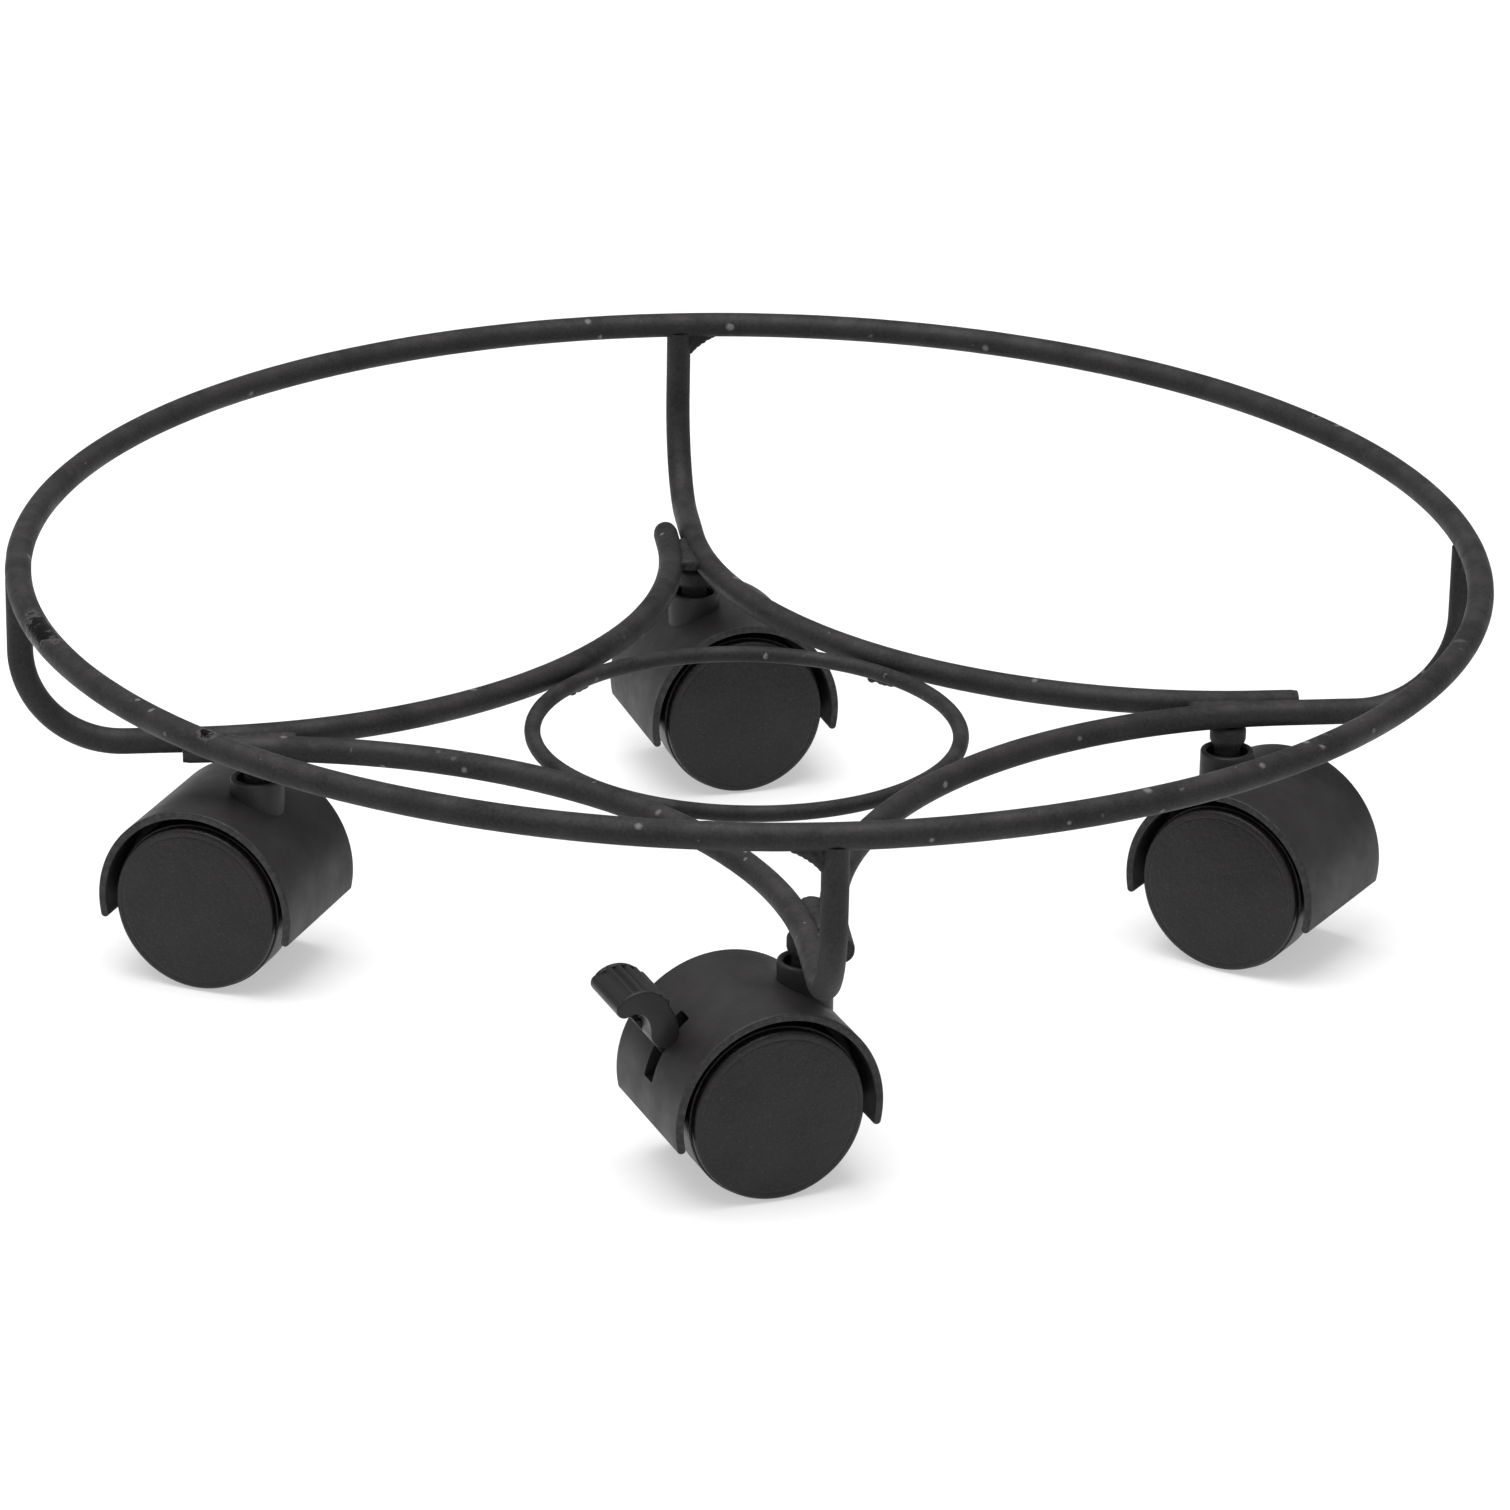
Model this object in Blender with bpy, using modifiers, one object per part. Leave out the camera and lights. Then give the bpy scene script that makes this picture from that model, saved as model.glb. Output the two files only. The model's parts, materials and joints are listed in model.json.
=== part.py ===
"""Round wire plant pot caddy on four twin-wheel casters, one of them braked.

Frame: origin on the floor under the middle of the top ring, +Z up, metres.
The four arms turn clockwise seen from above. Each caster is built along its
own +X, from the swivel axis towards the axle, with the axle along its Y.
"""

from math import asin, cos, pi, radians, sin, sqrt

import bmesh
import bpy
from mathutils import Matrix

# ---- wire frame ----
ringRadius = 0.165            # top ring, to the middle of the rod
rodRadius = 0.0030            # rod of the top ring and the arms
wireRadius = 0.0019           # thinner rod of the inner ring
postRise = 0.0416             # from the arms' middle up to the top ring's middle
footBend = 0.0230             # bend from a post into its arm
legStraight = 0.0156          # straight run from the foot bend to the sweep
rodGap = 0.0004               # between an arm's end and the next leg beside it
armEndSetback = 0.0130        # an arm's cut end, inside the next foot bend
innerRingDrop = 0.0014        # the inner ring lies a little lower than the arms
frameTurn = radians(6.5)      # first post, measured from +X

# ---- welds ----
weldGap = 0.0003              # what welded or seated pieces keep between them
postWeldLength = 0.0068
postWeldWidth = 0.0036
postWeldHeight = 0.0046
postWeldEdge = 0.0008
postWeldBelly = ((0.50, 0.30), (0.22, 0.62))  # points on its slope, as shares of length and height
crotchWeldRadius = 0.0012
crotchWeldLength = 0.0080
innerWeldLength = 0.0070
innerWeldWidth = 0.0026
innerWeldHeight = 0.0022

# ---- stems ----
stemSetback = 0.0530          # swivel axis, inside the top ring's middle
stemOffset = 0.0008           # and to the side of its post, towards the next arm's end
collarRadius = 0.0042
collarHeight = 0.0052
collarRound = 0.0010
pinRadius = 0.0030
pinClearance = 0.0004
pinLength = 0.0215            # below the collar
pinEndGap = 0.0003

# ---- casters ----
wheelRadius = 0.0200
wheelWidth = 0.0131            # with its domed face
treadBevel = 0.0008
wheelRimWall = 0.0036
wheelWeb = 0.0018
hubRadius = 0.0046
wheelSideGap = 0.0004         # wheel to the hood's middle wall
coverStep = 0.0004            # cover's edge, inside the tread
coverEdge = 0.0018            # height of its edge
coverDome = 0.0005
coverBevel = 0.0006
coverGap = 0.0003
coverSpigotWall = 0.0012      # its spigot, inside the wheel's rim
coverSpigot = 0.0016
axleRadius = 0.0020
axleClearance = 0.0003
plainTrail = 0.0080           # swivel axis to axle
brakedTrail = 0.0125          # longer on the braked caster
treadGap = 0.0020             # wheel tread to the inside of the hood
hoodWall = 0.0018
hoodSkirt = 0.0054            # hood's lower edge, below the axle
hoodEdgeRound = 0.0008
middleWall = 0.0110           # hood's wall between the two wheels
middleWallLift = 0.0008       # its lower edge, above the hood's
faceProud = 0.0008            # wheel's face past the hood's side
neckRadius = 0.0062
neckRise = 0.0036             # above the crown of the hood
neckWall = 0.0014
neckWell = 0.0030
neckRound = 0.0006
neckSeat = 0.0009             # neck's foot, set into the sides of the middle wall
collarGap = 0.0005            # collar above the neck

# ---- brake lever ----
slotWidth = 0.0046
slotDepth = 0.0123            # below the crown of the hood
slotLow = radians(11)
slotHigh = radians(51)
leverPivotDepth = 0.0063      # pivot, below the crown of the hood
leverPivotAngle = radians(35)
leverPinRadius = 0.0012
leverPinClearance = 0.0003
leverHubRadius = 0.0027
leverHubStep = 0.0002         # hub's ends, inside the arm plates
leverSideGap = 0.0004
armPlate = 0.0013             # each of the lever's two arm plates
plateHeel = (-0.0010, 0.0018)  # corners of an arm plate, from the pivot
plateToe = (0.0012, -0.0019)
plateKnee = (0.0064, 0.0008)
plateInner = 0.0012           # its corners in the lobe, past the lobe's middle
plateOuter = 0.0054
plateLift = 0.0012
pedalWidth = 0.0165
pedalNoseThickness = 0.0038
pedalLobeThickness = 0.0064
noseOut = 0.0080              # pedal's nose, past the hood's radius along X
noseUp = 0.0014               # and along Z
lobeInset = 0.0012            # middle of its lobe, inside the hood's radius along X
lobeDrop = 0.0054             # and along Z
noseGuide = (-0.0050, 0.0024)  # directions in which the plate leaves its two ends
lobeGuide = (0.0004, 0.0056)
ribHeight = 0.0005
ribCount = 5
ribStart = 0.12               # ribbed part, as shares of the way from nose to lobe
ribEnd = 0.66

# ---- caster headings, from +X to the direction in which the axle trails ----
casterHeading = {
    "right": radians(-30),
    "back": radians(18),
    "left": radians(160),
    "front": radians(202),
}
brakedCaster = "front"

# ---- facets ----
rodSides = 8
ringSteps = 80
innerRingSteps = 56
footSteps = 6
sweepSteps = 18
wheelSides = 32
coverSides = 28
stemSides = 16
neckSides = 24
axleSides = 12
leverHubSides = 16
beadSides = 10
beadRings = 6
hoodSteps = 26
slotSteps = 5
pedalSteps = 50
noseSteps = 5
lobeSteps = 6
smoothAngle = radians(35)
mergeDistance = 0.000002
turnedMerge = 0.00001

# ---- worked out from the sizes above ----
armSpacing = 2 * rodRadius + rodGap
hoodInner = wheelRadius + treadGap
hoodOuter = hoodInner + hoodWall
hoodHalf = middleWall / 2 + wheelSideGap + wheelWidth - faceProud
axleZ = wheelRadius
neckTop = axleZ + hoodOuter + neckRise
stemTop = neckTop + collarGap + collarHeight
armZ = stemTop + weldGap + rodRadius
ringZ = armZ + postRise
postTop = ringZ - rodRadius - weldGap
sweepRadius = ringRadius - footBend - legStraight - armSpacing
armEnd = ringRadius - footBend - armEndSetback
armNearest = sqrt((armSpacing + sweepRadius) ** 2 + sweepRadius ** 2) - sweepRadius
innerRingRadius = armNearest - rodRadius - wireRadius - weldGap
innerRingZ = armZ - innerRingDrop
nearestTurn = -radians(45)    # where an arm passes the inner ring, from its post
stemRadius = ringRadius - stemSetback
armOffsetAtStem = sweepRadius - sqrt(sweepRadius ** 2 - max(sweepRadius - stemRadius, 0) ** 2)
legSweepStart = sweepRadius + armSpacing
legOffsetAtStem = sweepRadius - sqrt(sweepRadius ** 2 - max(legSweepStart - stemRadius, 0) ** 2)
rodSplit = armSpacing + armOffsetAtStem + legOffsetAtStem
grooveSide = (armSpacing + armOffsetAtStem - legOffsetAtStem) / 2
pinBottom = stemTop - collarHeight - pinLength
wheelInside = middleWall / 2 + wheelSideGap
wheelOutside = wheelInside + wheelWidth
coverRadius = wheelRadius - coverStep
coverTop = wheelOutside
coverBottom = coverTop - coverDome - coverBevel - coverEdge
wheelRimTop = coverBottom - coverGap
recessRadius = wheelRadius - coverSpigotWall
recessFloor = wheelRimTop - coverSpigot - coverGap
hubBore = axleRadius + axleClearance
leverPivotRadius = hoodOuter - leverPivotDepth
leverPivotX = leverPivotRadius * cos(leverPivotAngle)
leverPivotZ = leverPivotRadius * sin(leverPivotAngle)
leverHubHalf = slotWidth / 2 - leverSideGap
slotFloor = hoodOuter - slotDepth
nose = (hoodOuter + noseOut, hoodOuter + noseUp)
lobe = (hoodOuter - lobeInset, hoodOuter - lobeDrop)

legNames = ["right", "back", "left", "front"]


def clearScene():
    for item in list(bpy.data.objects):
        bpy.data.objects.remove(item, do_unlink=True)


def newCollection(name):
    group = bpy.data.collections.new(name)
    bpy.context.scene.collection.children.link(group)
    return group


def makeMaterial(name, colour, roughness, metallic=0.0):
    material = bpy.data.materials.new(name)
    material.use_nodes = True
    shader = material.node_tree.nodes["Principled BSDF"]
    shader.inputs["Base Color"].default_value = (*colour, 1.0)
    shader.inputs["Roughness"].default_value = roughness
    shader.inputs["Metallic"].default_value = metallic
    return material


def addObject(name, data, group, material=None, parent=None):
    item = bpy.data.objects.new(name, data)
    group.objects.link(item)
    item.parent = parent
    if material and not data.materials:
        data.materials.append(material)
    return item


def smoothMesh(mesh):
    mesh.shade_smooth()
    mesh.set_sharp_from_angle(angle=smoothAngle)


def outside(radius, sides):
    """Corner radius of a regular outline whose flats lie at the radius."""
    return radius / cos(pi / sides)


def wireCurve(name, points, radius, cyclic):
    """Rod along the points, turned so that one of its flats faces up."""
    curve = bpy.data.curves.new(name, "CURVE")
    curve.dimensions = "3D"
    curve.twist_mode = "Z_UP" if cyclic else "MINIMUM"
    curve.bevel_depth = outside(radius, rodSides)
    curve.bevel_resolution = (rodSides - 4) // 2
    curve.use_fill_caps = True
    spline = curve.splines.new("POLY")
    spline.points.add(len(points) - 1)
    for place, point in zip(spline.points, points):
        place.co = (*point, 1.0)
        place.tilt = pi / rodSides
    spline.use_cyclic_u = cyclic
    return curve


def circlePoints(radius, steps):
    return [(radius * cos(2 * pi * i / steps), radius * sin(2 * pi * i / steps), 0.0) for i in range(steps)]


def armPoints():
    """One arm from its post at +X: down, inward, and round towards -Y."""
    points = [(ringRadius, 0.0, postTop)]
    for i in range(footSteps + 1):
        turn = pi / 2 * i / footSteps
        points.append((
            ringRadius - footBend + footBend * cos(turn),
            0.0,
            armZ + footBend - footBend * sin(turn),
        ))
    for i in range(sweepSteps + 1):
        turn = pi / 2 * i / sweepSteps
        points.append((
            armSpacing + sweepRadius - sweepRadius * sin(turn),
            -(sweepRadius - sweepRadius * cos(turn)),
            armZ,
        ))
    points.append((armSpacing, -armEnd, armZ))
    return points


def turnedMesh(name, profile, sides, closed):
    """Profile of (radius, height) turned about Z with its flats at the given radii."""
    start = pi / sides
    mesh = bpy.data.meshes.new(name)
    places = [
        (outside(radius, sides) * cos(start), outside(radius, sides) * sin(start), height)
        for radius, height in profile
    ]
    edges = [(i, i + 1) for i in range(len(places) - 1)]
    if closed:
        edges.append((len(places) - 1, 0))
    mesh.from_pydata(places, edges, [])
    return mesh


def addTurned(name, profile, sides, group, material=None, parent=None, closed=False):
    item = addObject(name, turnedMesh(name, profile, sides, closed), group, material, parent)
    screw = item.modifiers.new("turn", "SCREW")
    screw.steps = sides
    screw.render_steps = sides
    screw.use_merge_vertices = True
    screw.merge_threshold = turnedMerge
    screw.use_smooth_shade = True
    return item


def settle(item):
    """Replace an object's curve or modifiers with the mesh that they give."""
    bpy.context.view_layer.update()
    graph = bpy.context.evaluated_depsgraph_get()
    mesh = bpy.data.meshes.new_from_object(item.evaluated_get(graph))
    shaped = bmesh.new()
    shaped.from_mesh(mesh)
    bmesh.ops.remove_doubles(shaped, verts=shaped.verts, dist=mergeDistance)
    shaped.to_mesh(mesh)
    shaped.free()
    group = item.users_collection[0]
    solid = bpy.data.objects.new(item.name, mesh)
    group.objects.link(solid)
    solid.matrix_world = item.matrix_world.copy()
    name = item.name
    bpy.data.objects.remove(item, do_unlink=True)
    solid.name = name
    return solid


def outlineSolid(name, points, half, group):
    """Flat outline in XZ, thickened equally to both sides along Y."""
    curve = bpy.data.curves.new(name, "CURVE")
    curve.dimensions = "2D"
    curve.fill_mode = "BOTH"
    curve.extrude = half
    spline = curve.splines.new("POLY")
    spline.points.add(len(points) - 1)
    for place, (across, up) in zip(spline.points, points):
        place.co = (across, up, 0.0, 1.0)
    spline.use_cyclic_u = True
    item = addObject(name, curve, group)
    item.rotation_euler = (pi / 2, 0.0, 0.0)
    solid = settle(item)
    solid.data.transform(solid.matrix_world)
    solid.matrix_world.identity()
    return solid


def rodSolid(name, radius, half, place, sides, group):
    """Round rod along Y through a place in XZ."""
    mesh = bpy.data.meshes.new(name)
    shaped = bmesh.new()
    bmesh.ops.create_cone(
        shaped, cap_ends=True, segments=sides, depth=2 * half,
        radius1=outside(radius, sides), radius2=outside(radius, sides),
    )
    shaped.to_mesh(mesh)
    shaped.free()
    item = addObject(name, mesh, group)
    item.rotation_euler = (pi / 2, pi / sides, 0.0)
    item.location = (place[0], 0.0, place[1])
    return item


def combine(target, other, operation):
    """Boolean that stays live until the target is settled."""
    cut = target.modifiers.new(other.name, "BOOLEAN")
    cut.operation = operation
    cut.solver = "EXACT"
    cut.object = other
    other.hide_render = True
    other.display_type = "WIRE"


def arcPoints(radius, start, end, steps, centre=(0.0, 0.0)):
    return [
        (
            centre[0] + radius * cos(start + (end - start) * i / steps),
            centre[1] + radius * sin(start + (end - start) * i / steps),
        )
        for i in range(steps + 1)
    ]


def hoodShellOutline():
    """Open arch over the wheels, with rounded lower edges at one level."""
    points = []
    low = asin((hoodSkirt - hoodEdgeRound) / hoodOuter)
    points += arcPoints(hoodOuter, -low, pi + low, hoodSteps)
    outerX = -hoodOuter * cos(low)
    innerLow = asin((hoodSkirt - hoodEdgeRound) / hoodInner)
    innerX = -hoodInner * cos(innerLow)
    points.append((outerX + hoodEdgeRound, -hoodSkirt))
    points.append((innerX - hoodEdgeRound, -hoodSkirt))
    points += arcPoints(hoodInner, pi + innerLow, -innerLow, hoodSteps)
    points.append((-innerX + hoodEdgeRound, -hoodSkirt))
    points.append((-outerX - hoodEdgeRound, -hoodSkirt))
    return points


def middleOutline():
    """Wall between the wheels, set into the arch's thickness."""
    radius = hoodInner + hoodWall / 2
    drop = hoodSkirt - middleWallLift
    low = asin(drop / radius)
    return arcPoints(radius, -low, pi + low, hoodSteps)


def slotOutline():
    reach = hoodOuter + hoodWall
    return arcPoints(slotFloor, slotHigh, slotLow, slotSteps) + arcPoints(reach, slotLow, slotHigh, slotSteps)


def buildHood(braked, trail, parts, cutters):
    """Hood about its axle: arch, middle wall and neck in one moulding."""
    kind = "braked" if braked else "plain"
    hood = outlineSolid("hood_" + kind, hoodShellOutline(), hoodHalf, parts)
    middle = outlineSolid("middle_" + kind, middleOutline(), middleWall / 2, cutters)
    combine(hood, middle, "UNION")

    neckFoot = sqrt(hoodOuter ** 2 - (trail + neckRadius) ** 2) - hoodWall / 2
    neckCrown = neckTop - axleZ
    neck = addTurned("neck_" + kind, [
        (0.0, neckCrown),
        (neckRadius - neckRound, neckCrown),
        (neckRadius, neckCrown - neckRound),
        (neckRadius, neckFoot),
        (0.0, neckFoot),
    ], neckSides, cutters)
    neck.location = (-trail, 0.0, 0.0)
    # over the wheels the neck ends within the hood's thickness
    for side in (-1, 1):
        clearHalf = hoodHalf / 2
        clear = rodSolid(
            "wheel_space_{}_{}".format(kind, "near" if side < 0 else "far"),
            hoodInner + hoodWall / 2, clearHalf, (0.0, 0.0), 2 * hoodSteps, cutters,
        )
        clear.location.y = side * (middleWall / 2 - neckSeat + clearHalf)
        combine(neck, clear, "DIFFERENCE")
    combine(hood, settle(neck), "UNION")

    bore = pinRadius + pinClearance
    boreFloor = pinBottom - pinEndGap - axleZ
    wellRadius = neckRadius - neckWall
    well = addTurned("stem_bore_" + kind, [
        (0.0, neckCrown + neckWall),
        (wellRadius, neckCrown + neckWall),
        (wellRadius, neckCrown - neckWell),
        (bore, neckCrown - neckWell),
        (bore, boreFloor),
        (0.0, boreFloor),
    ], stemSides, cutters)
    well.location = (-trail, 0.0, 0.0)
    combine(hood, settle(well), "DIFFERENCE")

    axleHole = rodSolid("axle_hole_" + kind, hubBore, middleWall, (0.0, 0.0), axleSides, cutters)
    combine(hood, axleHole, "DIFFERENCE")
    if braked:
        slot = outlineSolid("lever_slot", slotOutline(), slotWidth / 2, cutters)
        combine(hood, slot, "DIFFERENCE")
        pinHole = rodSolid(
            "lever_pin_hole", leverPinRadius + leverPinClearance, middleWall,
            (leverPivotX, leverPivotZ), axleSides, cutters,
        )
        combine(hood, pinHole, "DIFFERENCE")
    solid = settle(hood)
    smoothMesh(solid.data)
    mesh = solid.data
    bpy.data.objects.remove(solid, do_unlink=True)
    return mesh


def wheelProfile():
    """Wheel open on its inner side, with a recess for its cover; runs down the outside."""
    hollow = wheelRadius - wheelRimWall
    webInside = recessFloor - wheelWeb
    return [
        (recessRadius, wheelRimTop),
        (wheelRadius, wheelRimTop),
        (wheelRadius, wheelInside + treadBevel),
        (wheelRadius - treadBevel, wheelInside),
        (hollow, wheelInside),
        (hollow, webInside),
        (hubRadius, webInside),
        (hubRadius, wheelInside + wheelSideGap),
        (hubBore, wheelInside + wheelSideGap),
        (hubBore, recessFloor),
        (recessRadius, recessFloor),
    ]


def coverProfile():
    """Domed disc over the whole side of the wheel, with a spigot into its recess."""
    spigotRadius = recessRadius - coverGap
    spigotEnd = recessFloor + coverGap
    return [
        (0.0, coverTop),
        (coverRadius / 2, coverTop - coverDome / 4),
        (coverRadius - coverBevel, coverTop - coverDome),
        (coverRadius, coverTop - coverDome - coverBevel),
        (coverRadius, coverBottom),
        (spigotRadius, coverBottom),
        (spigotRadius, spigotEnd),
        (0.0, spigotEnd),
    ]


def axleProfile():
    end = recessFloor - weldGap
    return [(0.0, end), (axleRadius, end), (axleRadius, -end), (0.0, -end)]


def stemProfile():
    collarFoot = stemTop - collarHeight
    return [
        (0.0, stemTop),
        (collarRadius, stemTop),
        (collarRadius, collarFoot + 2 * collarRound),
        (collarRadius - collarRound, collarFoot + collarRound / 2),
        (pinRadius, collarFoot),
        (pinRadius, pinBottom),
        (0.0, pinBottom),
    ]


def pedalOutline():
    """Thick curved plate from its nose to a lobe over the hood, ribbed on top."""
    guideA = (nose[0] + noseGuide[0], nose[1] + noseGuide[1])
    guideB = (lobe[0] + lobeGuide[0], lobe[1] + lobeGuide[1])
    middle = []
    for i in range(pedalSteps + 1):
        t = i / pedalSteps
        weights = ((1 - t) ** 3, 3 * t * (1 - t) ** 2, 3 * t * t * (1 - t), t ** 3)
        middle.append(tuple(
            sum(w * p[axis] for w, p in zip(weights, (nose, guideA, guideB, lobe))) for axis in (0, 1)
        ))
    top = []
    under = []
    for i in range(pedalSteps + 1):
        before = middle[max(i - 1, 0)]
        after = middle[min(i + 1, pedalSteps)]
        along = (after[0] - before[0], after[1] - before[1])
        size = sqrt(along[0] ** 2 + along[1] ** 2)
        normal = (along[1] / size, -along[0] / size)
        t = i / pedalSteps
        half = (pedalNoseThickness + (pedalLobeThickness - pedalNoseThickness) * t) / 2
        ribTurn = 2 * pi * ribCount * (t - ribStart) / (ribEnd - ribStart)
        rib = ribHeight * (1 - cos(ribTurn)) / 2 if ribStart < t < ribEnd else 0.0
        top.append((middle[i][0] + normal[0] * (half + rib), middle[i][1] + normal[1] * (half + rib)))
        under.append((middle[i][0] - normal[0] * half, middle[i][1] - normal[1] * half))
    noseArc = roundEnd(under[0], top[0], noseSteps)
    lobeArc = roundEnd(top[-1], under[-1], lobeSteps)
    return noseArc + top + lobeArc + under[::-1]


def roundEnd(start, end, steps):
    """Half circle between two points, without its ends, bulging to the right of start-end."""
    centre = ((start[0] + end[0]) / 2, (start[1] + end[1]) / 2)
    across = (start[0] - centre[0], start[1] - centre[1])
    points = []
    for i in range(1, steps):
        turn = pi * i / steps
        points.append((
            centre[0] + across[0] * cos(turn) - across[1] * sin(turn),
            centre[1] + across[0] * sin(turn) + across[1] * cos(turn),
        ))
    return points


def leverArmOutline():
    """One of the two plates that carry the pedal on its pivot."""
    corners = [(leverPivotX + across, leverPivotZ + up) for across, up in (plateHeel, plateToe, plateKnee)]
    corners += [(lobe[0] + across, lobe[1] + plateLift) for across in (plateOuter, plateInner)]
    return corners


def buildLever(parts, cutters):
    pedal = outlineSolid("brake_lever", pedalOutline(), pedalWidth / 2, parts)
    for side in (-1, 1):
        plate = outlineSolid("arm_plate_{}".format(side + 1), leverArmOutline(), armPlate / 2, cutters)
        plate.location.y = side * (leverHubHalf - armPlate / 2)
        combine(pedal, plate, "UNION")
    hub = rodSolid(
        "lever_hub", leverHubRadius, leverHubHalf - leverHubStep,
        (leverPivotX, leverPivotZ), leverHubSides, cutters,
    )
    combine(pedal, hub, "UNION")
    hole = rodSolid(
        "lever_hole", leverPinRadius + leverPinClearance, slotWidth,
        (leverPivotX, leverPivotZ), axleSides, cutters,
    )
    combine(pedal, hole, "DIFFERENCE")
    solid = settle(pedal)
    solid.data.transform(Matrix.Translation((-leverPivotX, 0.0, -leverPivotZ)))
    smoothMesh(solid.data)
    mesh = solid.data
    bpy.data.objects.remove(solid, do_unlink=True)
    return mesh


def filletMesh(parts):
    """Weld fillet from its corner at the origin, along +X under the ring and down the post."""
    solid = outlineSolid("post_fillet", [
        (0.0, 0.0),
        (postWeldLength, 0.0),
        (postWeldLength, -postWeldEdge),
        *((postWeldLength * along, -postWeldHeight * down) for along, down in postWeldBelly),
        (postWeldEdge, -postWeldHeight),
        (0.0, -postWeldHeight),
    ], postWeldWidth / 2, parts)
    smoothMesh(solid.data)
    mesh = solid.data
    bpy.data.objects.remove(solid, do_unlink=True)
    return mesh


def beadMesh(name, length, width, height):
    """Weld bead: a lump stretched along X."""
    mesh = bpy.data.meshes.new(name)
    shaped = bmesh.new()
    bmesh.ops.create_uvsphere(shaped, u_segments=beadSides, v_segments=beadRings, radius=0.5)
    bmesh.ops.scale(shaped, vec=(length, width, height), verts=shaped.verts)
    shaped.to_mesh(mesh)
    shaped.free()
    smoothMesh(mesh)
    return mesh


def buildFrame(parts, paint):
    root = addObject("frame_root", None, parts)
    root.rotation_euler.z = frameTurn

    ringCurve = wireCurve("top_ring", circlePoints(ringRadius, ringSteps), rodRadius, True)
    addObject("top_ring", ringCurve, parts, paint, root).location.z = ringZ
    innerCurve = wireCurve("inner_ring", circlePoints(innerRingRadius, innerRingSteps), wireRadius, True)
    addObject("inner_ring", innerCurve, parts, paint, root).location.z = innerRingZ

    arm = wireCurve("arm", armPoints(), rodRadius, False)
    postFillet = filletMesh(parts)
    crotchBead = beadMesh("crotch_bead", crotchWeldLength, 2 * crotchWeldRadius, 2 * crotchWeldRadius)
    innerBead = beadMesh("inner_bead", innerWeldLength, innerWeldWidth, innerWeldHeight)
    clearSide = outside(rodRadius, rodSides) + weldGap
    beadRise = sqrt((clearSide + crotchWeldRadius) ** 2 - (rodSplit / 2) ** 2)
    stems = {}
    for i, leg in enumerate(legNames):
        turn = i * pi / 2
        legRoot = addObject("leg_root_" + leg, None, parts, None, root)
        legRoot.rotation_euler.z = turn
        addObject("arm_" + leg, arm, parts, paint, legRoot)

        fillet = addObject("post_weld_" + leg, postFillet, parts, paint, legRoot)
        fillet.location = (ringRadius, -(rodRadius + weldGap), postTop)
        fillet.rotation_euler.z = -pi / 2

        crotch = addObject("crotch_weld_" + leg, crotchBead, parts, paint, legRoot)
        crotch.location = (stemRadius, grooveSide, armZ + beadRise)

        spot = addObject("inner_weld_" + leg, innerBead, parts, paint, legRoot)
        spotRadius = innerRingRadius + wireRadius + weldGap / 2
        spot.location = (
            spotRadius * cos(nearestTurn),
            spotRadius * sin(nearestTurn),
            armZ - rodRadius - weldGap - innerWeldHeight / 2,
        )
        spot.rotation_euler.z = nearestTurn + pi / 2

        stem = addTurned("stem_" + leg, stemProfile(), stemSides, parts, paint, legRoot)
        stem.location = (stemRadius, stemOffset, 0.0)
        stems[leg] = stem
    return stems


def buildCasters(stems, parts, cutters, looks):
    plainHood = buildHood(False, plainTrail, parts, cutters)
    brakedHood = buildHood(True, brakedTrail, parts, cutters)
    bpy.context.view_layer.update()
    for leg in legNames:
        swivel = addObject("swivel_" + leg, None, parts)
        swivel.location = stems[leg].matrix_world.translation.copy()
        swivel.rotation_euler.z = casterHeading[leg]
        hub = addObject("axle_line_" + leg, None, parts, None, swivel)
        braked = leg == brakedCaster
        hub.location = (brakedTrail if braked else plainTrail, 0.0, axleZ)

        hoodMesh = brakedHood if braked else plainHood
        addObject("hood_" + leg, hoodMesh, parts, looks["hood"], hub)
        axle = addTurned("axle_" + leg, axleProfile(), axleSides, parts, looks["steel"], hub)
        axle.rotation_euler.x = -pi / 2
        for side, turn in (("a", -pi / 2), ("b", pi / 2)):
            wheel = addTurned(
                "wheel_{}_{}".format(leg, side), wheelProfile(), wheelSides, parts, looks["wheel"], hub, closed=True,
            )
            wheel.rotation_euler.x = turn
            cover = addTurned(
                "cover_{}_{}".format(leg, side), coverProfile(), coverSides, parts, looks["wheel"], hub,
            )
            cover.rotation_euler.x = turn
        if braked:
            pivot = addObject("lever_pivot", None, parts, None, hub)
            pivot.location = (leverPivotX, 0.0, leverPivotZ)
            addObject("brake_lever", buildLever(parts, cutters), parts, looks["hood"], pivot)
            pinEnd = middleWall / 2 - weldGap
            pin = addTurned("brake_pin", [
                (0.0, pinEnd), (leverPinRadius, pinEnd), (leverPinRadius, -pinEnd), (0.0, -pinEnd),
            ], axleSides, parts, looks["steel"], pivot)
            pin.rotation_euler.x = -pi / 2


def main():
    clearScene()
    parts = newCollection("plant_caddy")
    cutters = newCollection("cutters")
    looks = {
        "paint": makeMaterial("black_powder_coat", (0.030, 0.029, 0.028), 0.62),
        "hood": makeMaterial("black_hood_plastic", (0.026, 0.026, 0.026), 0.55),
        "wheel": makeMaterial("black_wheel_plastic", (0.018, 0.018, 0.019), 0.48),
        "steel": makeMaterial("axle_steel", (0.42, 0.42, 0.43), 0.35, 1.0),
    }
    stems = buildFrame(parts, looks["paint"])
    buildCasters(stems, parts, cutters, looks)
    for item in list(cutters.objects):
        item.hide_render = True
        item.display_type = "WIRE"
    bpy.context.view_layer.update()


main()
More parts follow.
